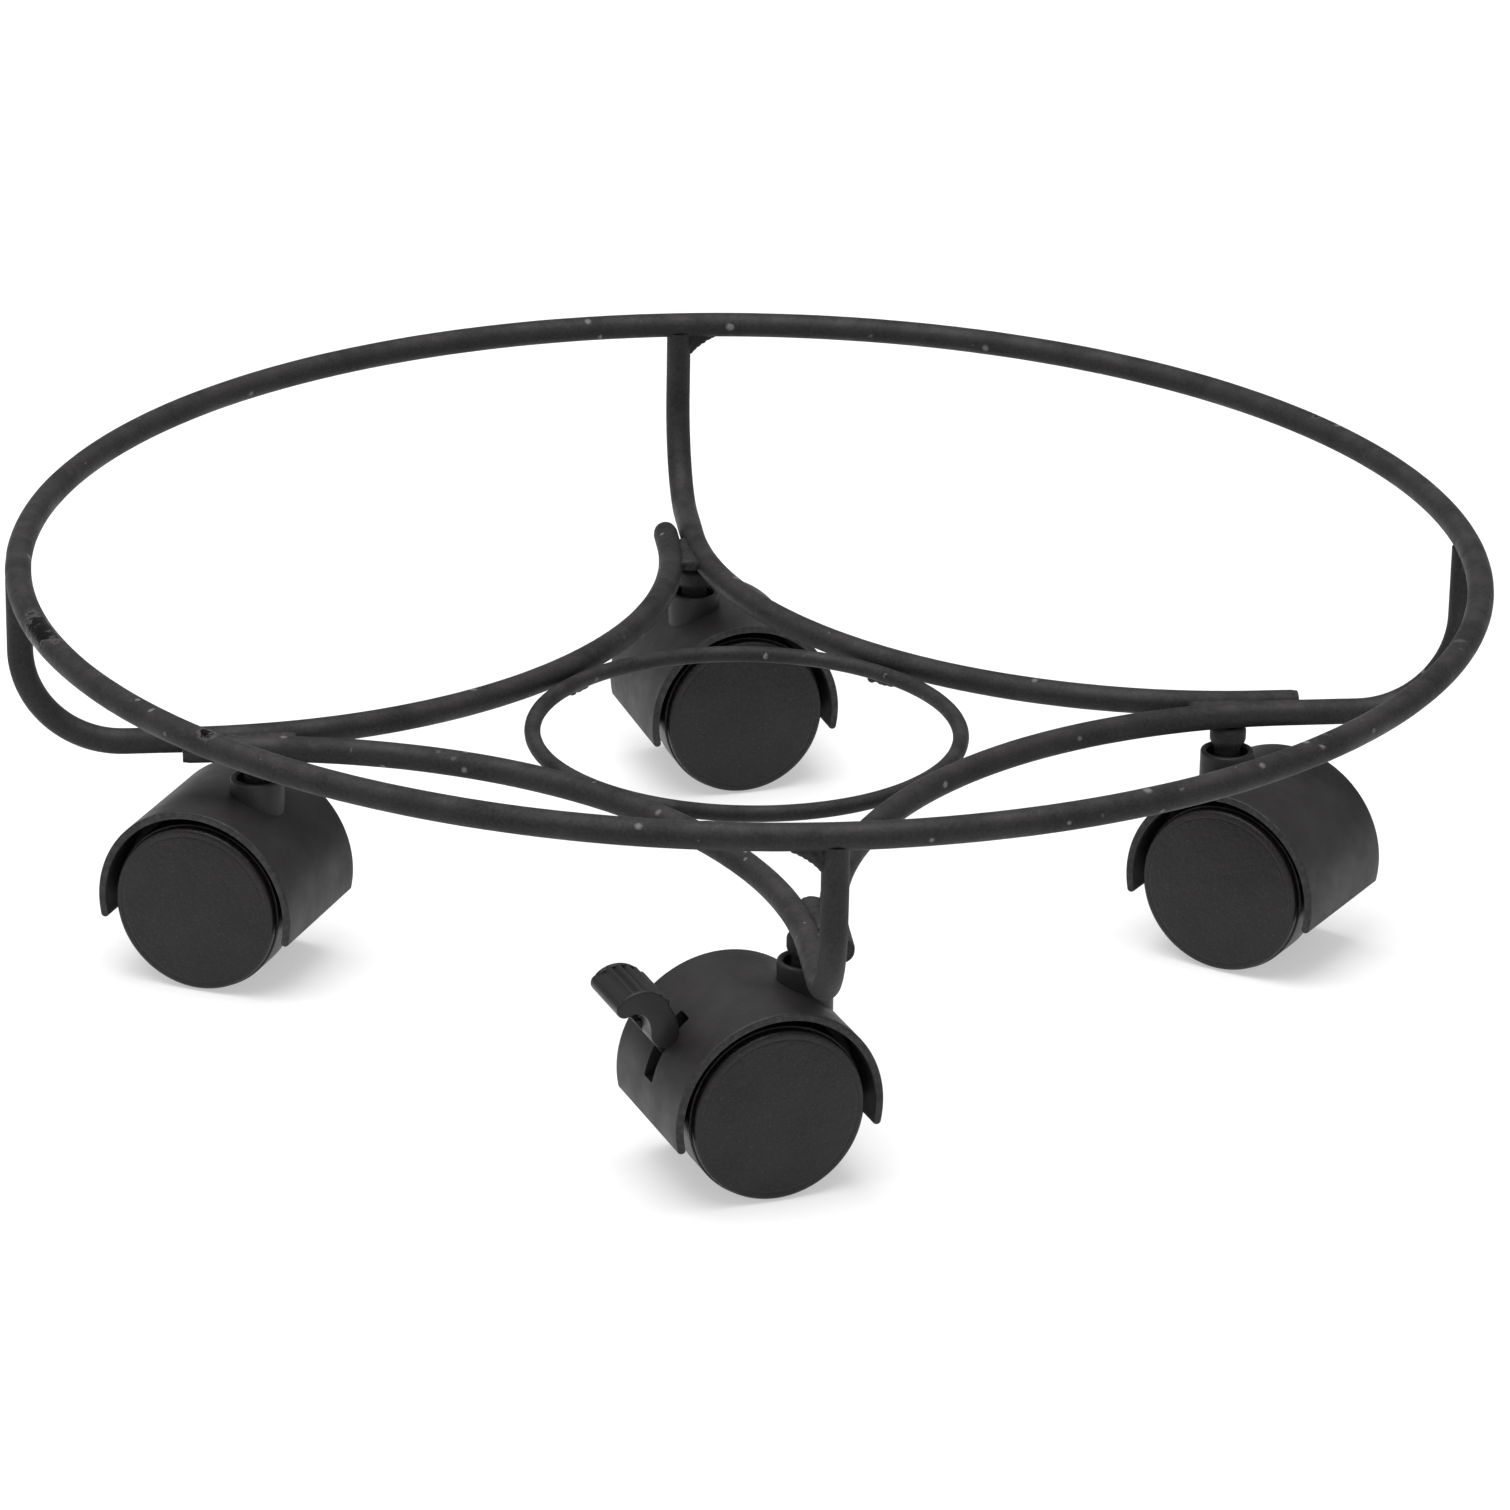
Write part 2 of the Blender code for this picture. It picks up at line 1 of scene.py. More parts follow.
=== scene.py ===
import json
from math import asin, atan, cos, exp, pi, radians, sin, sqrt

import bmesh
import bpy
from mathutils import Matrix, Vector, noise


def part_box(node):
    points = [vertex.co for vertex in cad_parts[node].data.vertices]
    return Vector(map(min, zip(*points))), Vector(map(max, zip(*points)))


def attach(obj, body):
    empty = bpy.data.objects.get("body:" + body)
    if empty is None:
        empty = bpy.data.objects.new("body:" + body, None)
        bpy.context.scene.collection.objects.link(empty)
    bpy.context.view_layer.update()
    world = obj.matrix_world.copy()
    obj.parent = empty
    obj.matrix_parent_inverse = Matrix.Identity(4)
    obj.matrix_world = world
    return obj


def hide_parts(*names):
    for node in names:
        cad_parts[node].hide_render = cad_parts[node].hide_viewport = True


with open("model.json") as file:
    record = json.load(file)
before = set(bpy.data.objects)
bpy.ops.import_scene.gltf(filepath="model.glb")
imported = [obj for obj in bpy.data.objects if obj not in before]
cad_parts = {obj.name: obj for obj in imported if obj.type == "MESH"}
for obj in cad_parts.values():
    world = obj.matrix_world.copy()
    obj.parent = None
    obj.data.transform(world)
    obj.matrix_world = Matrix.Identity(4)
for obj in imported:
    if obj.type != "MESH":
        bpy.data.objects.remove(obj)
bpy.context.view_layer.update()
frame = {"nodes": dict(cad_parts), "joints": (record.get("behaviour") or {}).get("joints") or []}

legs = ["right", "back", "left", "front"]
brakedLeg = "front"
jointNamed = {joint["name"]: joint for joint in frame["joints"]}
print("frame loaded:", len(frame["nodes"]), "pieces")


# helpers that build node trees

def addNode(tree, kind, inputs=None, **settings):
    node = tree.nodes.new(kind)
    for key, value in settings.items():
        setattr(node, key, value)
    for key, value in (inputs or {}).items():
        if isinstance(value, bpy.types.NodeSocket):
            tree.links.new(value, node.inputs[key])
        else:
            node.inputs[key].default_value = value
    return node


def mathNode(tree, operation, first, second, clamp=False):
    node = addNode(tree, "ShaderNodeMath", {0: first, 1: second}, operation=operation, use_clamp=clamp)
    return node.outputs[0]


def product(tree, first, second, clamp=False):
    return mathNode(tree, "MULTIPLY", first, second, clamp)


def total(tree, first, second, clamp=False):
    return mathNode(tree, "ADD", first, second, clamp)


def noiseNode(tree, place, scale, detail=2.0, roughness=0.5):
    node = addNode(tree, "ShaderNodeTexNoise", {
        "Vector": place, "Scale": scale, "Detail": detail, "Roughness": roughness,
    })
    return node.outputs[0]


def rangeNode(tree, value, fromMin, fromMax, toMin=0.0, toMax=1.0):
    node = addNode(tree, "ShaderNodeMapRange", {
        "Value": value, "From Min": fromMin, "From Max": fromMax, "To Min": toMin, "To Max": toMax,
    })
    return node.outputs["Result"]


def mixColour(tree, factor, first, second):
    node = addNode(tree, "ShaderNodeMix", {0: factor, 6: first, 7: second}, data_type="RGBA")
    return node.outputs[2]


def newGroup(name, inputs, outputs):
    group = bpy.data.node_groups.new(name, "ShaderNodeTree")
    for label, kind, value in inputs:
        socket = group.interface.new_socket(label, in_out="INPUT", socket_type="NodeSocket" + kind)
        if value is not None:
            socket.default_value = value
    for label, kind in outputs:
        group.interface.new_socket(label, in_out="OUTPUT", socket_type="NodeSocket" + kind)
    start = group.nodes.new("NodeGroupInput")
    end = group.nodes.new("NodeGroupOutput")
    return group, start.outputs, end.inputs


def placeGroup(tree, group, inputs):
    node = addNode(tree, "ShaderNodeGroup", node_tree=group)
    for key, value in inputs.items():
        if isinstance(value, bpy.types.NodeSocket):
            tree.links.new(value, node.inputs[key])
        else:
            node.inputs[key].default_value = value
    return node.outputs


def makeCoatGrain():
    # orange peel, fine grit and scattered pinholes, at a size in grains per metre
    tree, given, out = newGroup(
        "coatGrain",
        [("Vector", "Vector", None), ("Grains", "Float", 1800.0), ("Pinholes", "Float", 0.3)],
        [("Height", "Float"), ("Pits", "Float"), ("Grit", "Float")],
    )
    place, grains = given["Vector"], given["Grains"]
    peel = noiseNode(tree, place, product(tree, grains, 0.32), 2.0, 0.45)
    grit = noiseNode(tree, place, grains, 3.0, 0.65)
    cells = addNode(tree, "ShaderNodeTexVoronoi", {"Vector": place, "Scale": product(tree, grains, 0.21)})
    picked = addNode(tree, "ShaderNodeSeparateColor", {0: cells.outputs["Color"]}).outputs
    crowd = noiseNode(tree, place, product(tree, grains, 0.05), 3.0)
    limit = product(tree, given["Pinholes"], rangeNode(tree, crowd, 0.42, 0.66))
    chosen = mathNode(tree, "LESS_THAN", picked[0], limit)
    spread = total(tree, cells.outputs["Distance"], product(tree, grit, 0.22))
    width = total(tree, product(tree, picked[1], 1.5), 0.6)
    spread = mathNode(tree, "DIVIDE", spread, width)
    pits = product(tree, rangeNode(tree, spread, 0.24, 0.14), chosen, clamp=True)
    rough = total(tree, product(tree, peel, 0.75), product(tree, grit, 0.45))
    tree.links.new(mathNode(tree, "SUBTRACT", rough, product(tree, pits, 0.8)), out["Height"])
    tree.links.new(pits, out["Pits"])
    tree.links.new(rangeNode(tree, grit, 0.30, 0.72), out["Grit"])
    return tree


def makeMottle():
    # broad uneven tone between two colours
    tree, given, out = newGroup(
        "mottle",
        [
            ("Vector", "Vector", None), ("Patches", "Float", 60.0),
            ("Dark", "Color", None), ("Light", "Color", None),
        ],
        [("Color", "Color"), ("Tone", "Float")],
    )
    broad = noiseNode(tree, given["Vector"], given["Patches"], 4.0, 0.6)
    tone = rangeNode(tree, broad, 0.32, 0.68)
    tree.links.new(mixColour(tree, tone, given["Dark"], given["Light"]), out["Color"])
    tree.links.new(tone, out["Tone"])
    return tree


def makeScuffs():
    # sparse short scratches in two directions
    tree, given, out = newGroup(
        "scuffs",
        [("Vector", "Vector", None), ("Lines", "Float", 90.0), ("Amount", "Float", 0.5)],
        [("Mask", "Float")],
    )
    masks = []
    for turn, stretch in ((0.6, (1.0, 14.0, 1.0)), (-0.9, (16.0, 1.0, 3.0))):
        turned = addNode(tree, "ShaderNodeMapping", {
            "Vector": given["Vector"], "Rotation": (turn, 0.4 * turn, turn), "Scale": stretch,
        }).outputs[0]
        masks.append(rangeNode(tree, noiseNode(tree, turned, given["Lines"], 5.0, 0.7), 0.70, 0.78))
    patches = noiseNode(tree, given["Vector"], product(tree, given["Lines"], 0.9))
    both = mathNode(tree, "MAXIMUM", masks[0], masks[1])
    where = product(tree, rangeNode(tree, patches, 0.52, 0.66), given["Amount"])
    tree.links.new(product(tree, both, where, clamp=True), out["Mask"])
    return tree


def makeDustFilm():
    # pale dust that settles on what faces up
    tree, given, out = newGroup(
        "dustFilm",
        [("Vector", "Vector", None), ("Amount", "Float", 0.3)],
        [("Mask", "Float")],
    )
    normal = addNode(tree, "ShaderNodeNewGeometry").outputs["Normal"]
    facing = addNode(tree, "ShaderNodeSeparateXYZ", {0: normal}).outputs[2]
    broad = noiseNode(tree, given["Vector"], 110.0, 6.0, 0.7)
    lying = product(tree, rangeNode(tree, facing, 0.15, 0.95), rangeNode(tree, broad, 0.38, 0.75))
    tree.links.new(product(tree, lying, given["Amount"], clamp=True), out["Mask"])
    return tree


def makeEdgeRub():
    # breaks a painted edge mask into small worn flecks
    tree, given, out = newGroup(
        "edgeRub",
        [("Edge", "Float", 0.0), ("Vector", "Vector", None), ("Amount", "Float", 0.5)],
        [("Mask", "Float")],
    )
    flecks = noiseNode(tree, given["Vector"], 700.0, 5.0, 0.7)
    worn = product(tree, given["Edge"], rangeNode(tree, flecks, 0.45, 0.62))
    tree.links.new(product(tree, worn, given["Amount"], clamp=True), out["Mask"])
    return tree


coatGrain = makeCoatGrain()
mottle = makeMottle()
scuffs = makeScuffs()
dustFilm = makeDustFilm()
edgeRub = makeEdgeRub()


def startMaterial(name):
    material = bpy.data.materials.new(name)
    material.use_nodes = True
    tree = material.node_tree
    tree.nodes.clear()
    shader = tree.nodes.new("ShaderNodeBsdfPrincipled")
    end = tree.nodes.new("ShaderNodeOutputMaterial")
    tree.links.new(shader.outputs[0], end.inputs[0])
    place = tree.nodes.new("ShaderNodeTexCoord").outputs["Object"]
    return material, tree, shader.inputs, place


def maskNode(tree, name):
    return addNode(tree, "ShaderNodeAttribute", attribute_name=name).outputs["Fac"]


def toneOf(tree, place, look):
    return placeGroup(tree, mottle, {
        "Vector": place, "Patches": look["patches"], "Dark": look["dark"], "Light": look["light"],
    })


def maskOf(tree, group, place, **values):
    return placeGroup(tree, group, {"Vector": place, **values})["Mask"]


def bumpInto(tree, shader, height, distance):
    bump = addNode(tree, "ShaderNodeBump", {"Strength": 1.0, "Distance": distance, "Height": height})
    tree.links.new(bump.outputs[0], shader["Normal"])


# the materials, one dictionary of changeable values for each

coatLook = {
    "dark": (0.0058, 0.0050, 0.0052, 1.0),
    "light": (0.0130, 0.0116, 0.0118, 1.0),
    "grit": (0.032, 0.0296, 0.0300, 1.0),       # paler tops of the grains
    "chip": (0.0015, 0.0014, 0.0015, 1.0),      # glossy undercoat where the powder has come off
    "scratch": (0.16, 0.155, 0.15, 1.0),
    "dust": (0.20, 0.195, 0.185, 1.0),
    "chipRim": 0.22,           # how pale the broken edge of a chip is
    "chipSpecular": 0.06,
    "roughness": (0.50, 0.72),
    "specular": 0.22,
    "patches": 55.0,
    "dustAmount": 0.10,
    "scuffLines": 160.0,
    "scuffAmount": 1.0,
    "grains": 1500.0,
    "pinholes": 0.40,
    "bump": 0.00011,
}


def makeCoat(name, weldRough=1.0):
    look = coatLook
    material, tree, shader, place = startMaterial(name)
    grain = placeGroup(tree, coatGrain, {
        "Vector": place, "Grains": look["grains"], "Pinholes": look["pinholes"],
    })
    tone = toneOf(tree, place, look)
    colour = mixColour(tree, product(tree, grain["Grit"], 0.55), tone["Color"], look["grit"])
    colour = mixColour(tree, product(tree, grain["Pits"], 0.8), colour, look["scratch"])
    dust = maskOf(tree, dustFilm, place, Amount=look["dustAmount"])
    colour = mixColour(tree, dust, colour, look["dust"])
    # chips show a black gloss, with pale scratches round them
    worn = maskNode(tree, "worn")
    broken = product(tree, noiseNode(tree, place, 330.0, 5.0, 0.6), worn)
    chip = rangeNode(tree, broken, 0.33, 0.38)
    rimmed = product(tree, rangeNode(tree, broken, 0.27, 0.31), look["chipRim"])
    scratch = maskOf(tree, scuffs, place, Lines=look["scuffLines"], Amount=look["scuffAmount"])
    scratch = product(tree, scratch, total(tree, product(tree, worn, 2.0), 0.22), clamp=True)
    colour = mixColour(tree, rimmed, colour, look["scratch"])
    colour = mixColour(tree, scratch, colour, look["scratch"])
    colour = mixColour(tree, chip, colour, look["chip"])
    tree.links.new(colour, shader["Base Color"])
    rough = rangeNode(tree, tone["Tone"], 0.0, 1.0, look["roughness"][1], look["roughness"][0])
    rough = mathNode(tree, "SUBTRACT", rough, product(tree, chip, 0.36))
    tree.links.new(rough, shader["Roughness"])
    specular = rangeNode(tree, chip, 0.0, 1.0, look["specular"], look["chipSpecular"])
    tree.links.new(specular, shader["Specular IOR Level"])
    height = mathNode(tree, "SUBTRACT", grain["Height"], product(tree, chip, 0.9))
    height = total(tree, height, product(tree, noiseNode(tree, place, 420.0, 3.0), weldRough))
    bumpInto(tree, shader, height, look["bump"])
    return material


hoodLook = {
    "dark": (0.0140, 0.0126, 0.0130, 1.0),
    "light": (0.0206, 0.0188, 0.0192, 1.0),
    # pale colour for the rubbed edge flecks, also used for the painted glints on the grain tops
    "rub": (0.085, 0.083, 0.080, 1.0),
    "scratch": (0.20, 0.195, 0.19, 1.0),
    "dust": (0.14, 0.137, 0.130, 1.0),
    "roughness": (0.42, 0.56),
    "specular": 0.24,
    "patches": 90.0,
    "dustAmount": 0.07,
    "scuffAmount": 0.55,
    # how strongly the painted glints show on the grain tops
    "paintedSparkle": 0.06,
    "grains": 2600.0,
    "bump": 0.000022,
}

leverLook = {
    "dark": (0.0085, 0.0074, 0.0078, 1.0),
    "light": (0.0125, 0.0110, 0.0115, 1.0),
    # pale colour for the rubbed edge flecks, also used for the painted glints on the grain tops
    "rub": (0.060, 0.058, 0.058, 1.0),
    "scratch": (0.16, 0.155, 0.15, 1.0),
    "dust": (0.12, 0.117, 0.112, 1.0),
    "roughness": (0.34, 0.46),
    "specular": 0.30,
    "patches": 90.0,
    "dustAmount": 0.04,
    "scuffAmount": 0.30,
    # how strongly the painted glints show on the grain tops
    "paintedSparkle": 0.02,
    "grains": 2600.0,
    "bump": 0.000012,
}

wheelLook = {
    "dark": (0.0048, 0.0034, 0.0038, 1.0),
    "light": (0.0082, 0.0062, 0.0068, 1.0),
    # pale colour for the rubbed edge flecks, also used for the painted glints on the grain tops
    "rub": (0.060, 0.058, 0.058, 1.0),
    "scratch": (0.10, 0.097, 0.095, 1.0),
    "dust": (0.10, 0.097, 0.094, 1.0),
    "roughness": (0.30, 0.42),
    "specular": 0.30,
    "patches": 90.0,
    "dustAmount": 0.03,
    "scuffAmount": 0.20,
    # how strongly the painted glints show on the grain tops, strongest on the wheels
    "paintedSparkle": 0.34,
    "grains": 2300.0,
    "bump": 0.00019,
}


def makePlastic(name, look):
    material, tree, shader, place = startMaterial(name)
    grain = placeGroup(tree, coatGrain, {"Vector": place, "Grains": look["grains"], "Pinholes": 0.05})
    tone = toneOf(tree, place, look)
    # painted glints: paler specks on the grain tops stand in for light caught by the grain; they take the same pale
    # colour as the rubbed edge flecks below
    paintedGlints = product(tree, rangeNode(tree, grain["Grit"], 0.60, 0.98), look["paintedSparkle"])
    colour = mixColour(tree, paintedGlints, tone["Color"], look["rub"])
    dust = maskOf(tree, dustFilm, place, Amount=look["dustAmount"])
    colour = mixColour(tree, dust, colour, look["dust"])
    rub = maskOf(tree, edgeRub, place, Edge=maskNode(tree, "edge"), Amount=0.28)
    colour = mixColour(tree, rub, colour, look["rub"])
    marks = maskOf(tree, scuffs, place, Lines=130.0, Amount=look["scuffAmount"])
    handled = total(tree, product(tree, maskNode(tree, "worn"), 2.0), 0.35)
    marks = product(tree, marks, handled, clamp=True)
    colour = mixColour(tree, marks, colour, look["scratch"])
    tree.links.new(colour, shader["Base Color"])
    rough = rangeNode(tree, tone["Tone"], 0.0, 1.0, look["roughness"][1], look["roughness"][0])
    rough = total(tree, rough, product(tree, dust, 0.3), clamp=True)
    tree.links.new(rough, shader["Roughness"])
    shader["Specular IOR Level"].default_value = look["specular"]
    height = mathNode(tree, "SUBTRACT", grain["Height"], product(tree, marks, 0.6))
    bumpInto(tree, shader, height, look["bump"])
    return material


steelLook = {
    "dark": (0.22, 0.215, 0.21, 1.0),
    "light": (0.46, 0.455, 0.45, 1.0),
    "grease": (0.05, 0.045, 0.04, 1.0),
    "patches": 300.0,
    "roughness": (0.24, 0.46),
    "bump": 0.00001,
}


def makeSteel(name):
    look = steelLook
    material, tree, shader, place = startMaterial(name)
    lines = addNode(tree, "ShaderNodeMapping", {"Vector": place, "Scale": (1.0, 1.0, 9.0)}).outputs[0]
    drawn = noiseNode(tree, lines, 900.0, 4.0, 0.6)
    tone = toneOf(tree, place, look)
    greasy = rangeNode(tree, noiseNode(tree, place, 180.0, 3.0), 0.50, 0.66)
    tree.links.new(mixColour(tree, greasy, tone["Color"], look["grease"]), shader["Base Color"])
    tree.links.new(rangeNode(tree, drawn, 0.3, 0.7, *look["roughness"]), shader["Roughness"])
    shader["Metallic"].default_value = 1.0
    bumpInto(tree, shader, drawn, look["bump"])
    return material


powderCoat = makeCoat("blackPowderCoat")
weldCoat = makeCoat("blackPowderCoatOverWeld", weldRough=2.0)
hoodPlastic = makePlastic("mattBlackHood", hoodLook)
leverPlastic = makePlastic("smoothBlackLever", leverLook)
wheelPlastic = makePlastic("satinBlackWheel", wheelLook)
steel = makeSteel("drawnAxleSteel")
print("finishes made")


# helpers that shape and finish a piece

def finishPiece(name, shaped, body, material, stands=(), masks=None, smoothAngle=32):
    # shaped is a bmesh in the object's own place; masks paint values on its points
    bmesh.ops.recalc_face_normals(shaped, faces=shaped.faces)
    mesh = bpy.data.meshes.new(name)
    shaped.to_mesh(mesh)
    shaped.free()
    mesh.shade_smooth()
    mesh.set_sharp_from_angle(angle=radians(smoothAngle))
    for maskName in ("worn", "edge"):
        layer = mesh.attributes.new(maskName, "FLOAT", "POINT")
        rule = (masks or {}).get(maskName)
        if rule:
            layer.data.foreach_set("value", [rule(point.co) for point in mesh.vertices])
    mesh.materials.append(material)
    piece = bpy.data.objects.new(name, mesh)
    bpy.context.scene.collection.objects.link(piece)
    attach(piece, body)
    if stands:
        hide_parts(*stands)
    return piece


def rodShape(points, radiusAt, sides, cyclic):
    # round rod along the points; radiusAt(place, along) gives its radius
    shaped = bmesh.new()
    count = len(points)
    rings = []
    side = None
    for i, place in enumerate(points):
        before = points[i - 1] if cyclic or i else place
        after = points[(i + 1) % count] if cyclic or i < count - 1 else place
        along = (after - before).normalized()
        if side is None:
            side = along.orthogonal().normalized() if not cyclic else Vector((0.0, 0.0, 1.0))
        side = (side - along * side.dot(along)).normalized()
        up = along.cross(side)
        ring = []
        for k in range(sides):
            turn = 2 * pi * k / sides
            out = side * cos(turn) + up * sin(turn)
            ring.append(shaped.verts.new(place + out * radiusAt(place + out * 0.003, i)))
        rings.append(ring)
    for i in range(count if cyclic else count - 1):
        first, second = rings[i], rings[(i + 1) % count]
        for k in range(sides):
            shaped.faces.new((first[k], first[(k + 1) % sides], second[(k + 1) % sides], second[k]))
    if not cyclic:
        shaped.faces.new(rings[0])
        shaped.faces.new(rings[-1][::-1])
    return shaped


def turnedShape(profile, sides, closed=False):
    # profile of (radius, height) turned about Z; a radius of 0 makes a middle point
    shaped = bmesh.new()
    rings = []
    for radius, height in profile:
        if radius < 1e-7:
            rings.append([shaped.verts.new((0.0, 0.0, height))])
        else:
            rings.append([
                shaped.verts.new((radius * cos(2 * pi * k / sides), radius * sin(2 * pi * k / sides), height))
                for k in range(sides)
            ])
    pairs = list(zip(rings, rings[1:]))
    if closed:
        pairs.append((rings[-1], rings[0]))
    for first, second in pairs:
        for k in range(sides):
            a, b = first[k % len(first)], first[(k + 1) % len(first)]
            c, d = second[(k + 1) % len(second)], second[k % len(second)]
            corners = []
            for corner in (a, b, c, d):
                if corner not in corners:
                    corners.append(corner)
            if len(corners) > 2:
                shaped.faces.new(corners)
    return shaped


def roundProfile(profile, roundings, steps=4, closed=False):
    # replaces corner i by an arc of the given size
    points = []
    count = len(profile)
    for i, corner in enumerate(profile):
        size = roundings.get(i, 0.0)
        if not size or (not closed and i in (0, count - 1)):
            points.append(corner)
            continue
        here = Vector(corner)
        before = Vector(profile[i - 1]) - here
        after = Vector(profile[(i + 1) % count]) - here
        reach = min(size, before.length * 0.45, after.length * 0.45)
        start = here + before.normalized() * reach
        end = here + after.normalized() * reach
        for k in range(steps + 1):
            t = k / steps
            points.append(tuple(start * (1 - t) ** 2 + here * 2 * t * (1 - t) + end * t * t))
    return points


def arcPoints(radius, start, end, steps, centre=(0.0, 0.0)):
    return [
        (centre[0] + radius * cos(start + (end - start) * i / steps),
         centre[1] + radius * sin(start + (end - start) * i / steps))
        for i in range(steps + 1)
    ]


def crossShape(profile, sides, spot=None):
    # a turned shape laid along Y, through the spot when there is one
    shaped = turnedShape(profile, sides)
    bmesh.ops.rotate(shaped, matrix=Matrix.Rotation(pi / 2, 3, "X"), verts=shaped.verts)
    if spot is not None:
        bmesh.ops.translate(shaped, vec=spot, verts=shaped.verts)
    return shaped


def plainPin(radius, half):
    return [(0.0, half), (radius, half), (radius, -half), (0.0, -half)]


def chamferedPin(radius, half, chamfer):
    return [
        (0.0, half), (radius - chamfer, half), (radius, half - chamfer),
        (radius, chamfer - half), (radius - chamfer, -half), (0.0, -half),
    ]


def slabShape(outline, half, edge, steps=3, rows=(), arcSteps=0):
    # outline in XZ, thickened to both sides along Y, with rounded rims
    # an arch starts with its outer arc, of arcSteps steps, and has as many points in its inner arc
    points = [Vector(point) for point in outline]
    count = len(points)
    area = sum(
        points[i].x * points[(i + 1) % count].y - points[(i + 1) % count].x * points[i].y
        for i in range(count)
    )
    turn = 1.0 if area > 0 else -1.0
    inward = []
    for i in range(count):
        along = (points[(i + 1) % count] - points[i - 1]).normalized()
        inward.append(Vector((-along.y, along.x)) * turn)
    shaped = bmesh.new()
    rings = []
    levels = [
        (edge * (1 - cos(pi / 2 * k / steps)), half - edge + edge * sin(pi / 2 * k / steps))
        for k in range(steps, -1, -1)
    ]
    levels += [(0.0, (half - edge) * share) for share in rows]
    for inset, across in levels + [(inset, -across) for inset, across in reversed(levels)]:
        rings.append([
            shaped.verts.new((p.x + n.x * inset, across, p.y + n.y * inset)) for p, n in zip(points, inward)
        ])
    for first, second in zip(rings, rings[1:]):
        for k in range(count):
            shaped.faces.new((first[k], first[(k + 1) % count], second[(k + 1) % count], second[k]))
    for ring in (rings[0], rings[-1]):
        if not arcSteps:
            shaped.faces.new(ring)
            continue
        facing = count // 2 + arcSteps
        for k in range(arcSteps):
            shaped.faces.new((ring[k], ring[k + 1], ring[facing - k - 1], ring[facing - k]))
        shaped.faces.new(ring[arcSteps:count // 2 + 1])
        shaped.faces.new(ring[facing:] + ring[:1])
    bmesh.ops.recalc_face_normals(shaped, faces=shaped.faces)
    return shaped


def solidObject(name, shaped):
    bmesh.ops.recalc_face_normals(shaped, faces=shaped.faces)
    mesh = bpy.data.meshes.new(name)
    shaped.to_mesh(mesh)
    shaped.free()
    solid = bpy.data.objects.new(name, mesh)
    bpy.context.scene.collection.objects.link(solid)
    return solid


def cutAndJoin(name, steps):
    # steps are (shape, operation), the first one being the start
    base = solidObject(name, steps[0][0])
    tools = []
    for i, (shaped, operation) in enumerate(steps[1:]):
        tool = solidObject("{}Step{}".format(name, i), shaped)
        change = base.modifiers.new("step", "BOOLEAN")
        change.operation = operation
        change.solver = "EXACT"
        change.object = tool
        tools.append(tool)
    return settled(base, tools)


def settled(base, tools=()):
    # the object's final shape as a bmesh; the object and its tools go
    bpy.context.view_layer.update()
    graph = bpy.context.evaluated_depsgraph_get()
    mesh = bpy.data.meshes.new_from_object(base.evaluated_get(graph))
    shaped = bmesh.new()
    shaped.from_mesh(mesh)
    bpy.data.meshes.remove(mesh)
    for item in (base, *tools):
        bpy.data.objects.remove(item, do_unlink=True)
    return shaped


def lumpShape(name, lumps, voxel, rough, seed, soften=4):
    # melts lumps of (place, size, matrix) into one weld, then roughens it
    shaped = bmesh.new()
    for place, size, turn in lumps:
        made = bmesh.ops.create_icosphere(shaped, subdivisions=3, radius=1.0)
        spread = Matrix.Translation(place) @ turn.to_4x4() @ Matrix.Diagonal((*size, 1.0))
        bmesh.ops.transform(shaped, matrix=spread, verts=made["verts"])
    solid = solidObject(name, shaped)
    melt = solid.modifiers.new("melt", "REMESH")
    melt.mode = "VOXEL"
    melt.voxel_size = voxel
    smooth = solid.modifiers.new("smooth", "SMOOTH")
    smooth.factor = 0.5
    smooth.iterations = soften
    shaped = settled(solid)
    shaped.normal_update()
    for point in shaped.verts:
        ripple = noise.noise(point.co * 900.0 + Vector((seed, 0.0, 0.0)))
        ripple += 0.5 * noise.noise(point.co * 2100.0 + Vector((0.0, seed, 0.0)))
        point.co += point.normal * ripple * rough
    return shaped


# rings and arms

frameSizes = {
    "ringRadius": 0.165,
    "footBend": 0.0230,        # bend from a post into its arm
    "legStraight": 0.0156,
    "rodGap": 0.0004,          # between an arm's end and the next leg
    "armEndSetback": 0.0130,
    "turn": radians(6.5),      # first post, from +X
    "sides": 28,
    "uneven": 0.010,           # how far the rod strays from round, as a share
    "postSink": 0.0012,        # post end let into the underside of the ring
}


def middleOf(node, axis):
    low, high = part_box(node)
    return (low[axis] + high[axis]) / 2


ringLow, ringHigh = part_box("top_ring")
wireLow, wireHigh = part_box("inner_ring")
rodRadius = (ringHigh.z - ringLow.z) / 2
wireRadius = (wireHigh.z - wireLow.z) / 2
ringZ = middleOf("top_ring", 2)
innerZ = middleOf("inner_ring", 2)
innerRadius = wireHigh.x - wireRadius
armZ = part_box("arm_right")[0].z + rodRadius
armSpacing = 2 * rodRadius + frameSizes["rodGap"]
sweepRadius = frameSizes["ringRadius"] - frameSizes["footBend"] - frameSizes["legStraight"] - armSpacing
armEnd = frameSizes["ringRadius"] - frameSizes["footBend"] - frameSizes["armEndSetback"]


def unevenRadius(radius, share, seed=0.0, bumps=()):
    # a rod that is a little out of round, with local lumps of (place, height, reach)
    def radiusAt(place, along):
        stray = noise.noise(place * 60.0 + Vector((seed, 0.0, 0.0)))
        stray += 0.6 * noise.noise(place * 420.0 + Vector((0.0, seed, 0.0)))
        value = radius * (1.0 - share + share * stray)
        for centre, height, reach in bumps:
            value += height * exp(-((place - centre).length / reach) ** 2)
        return value
    return radiusAt


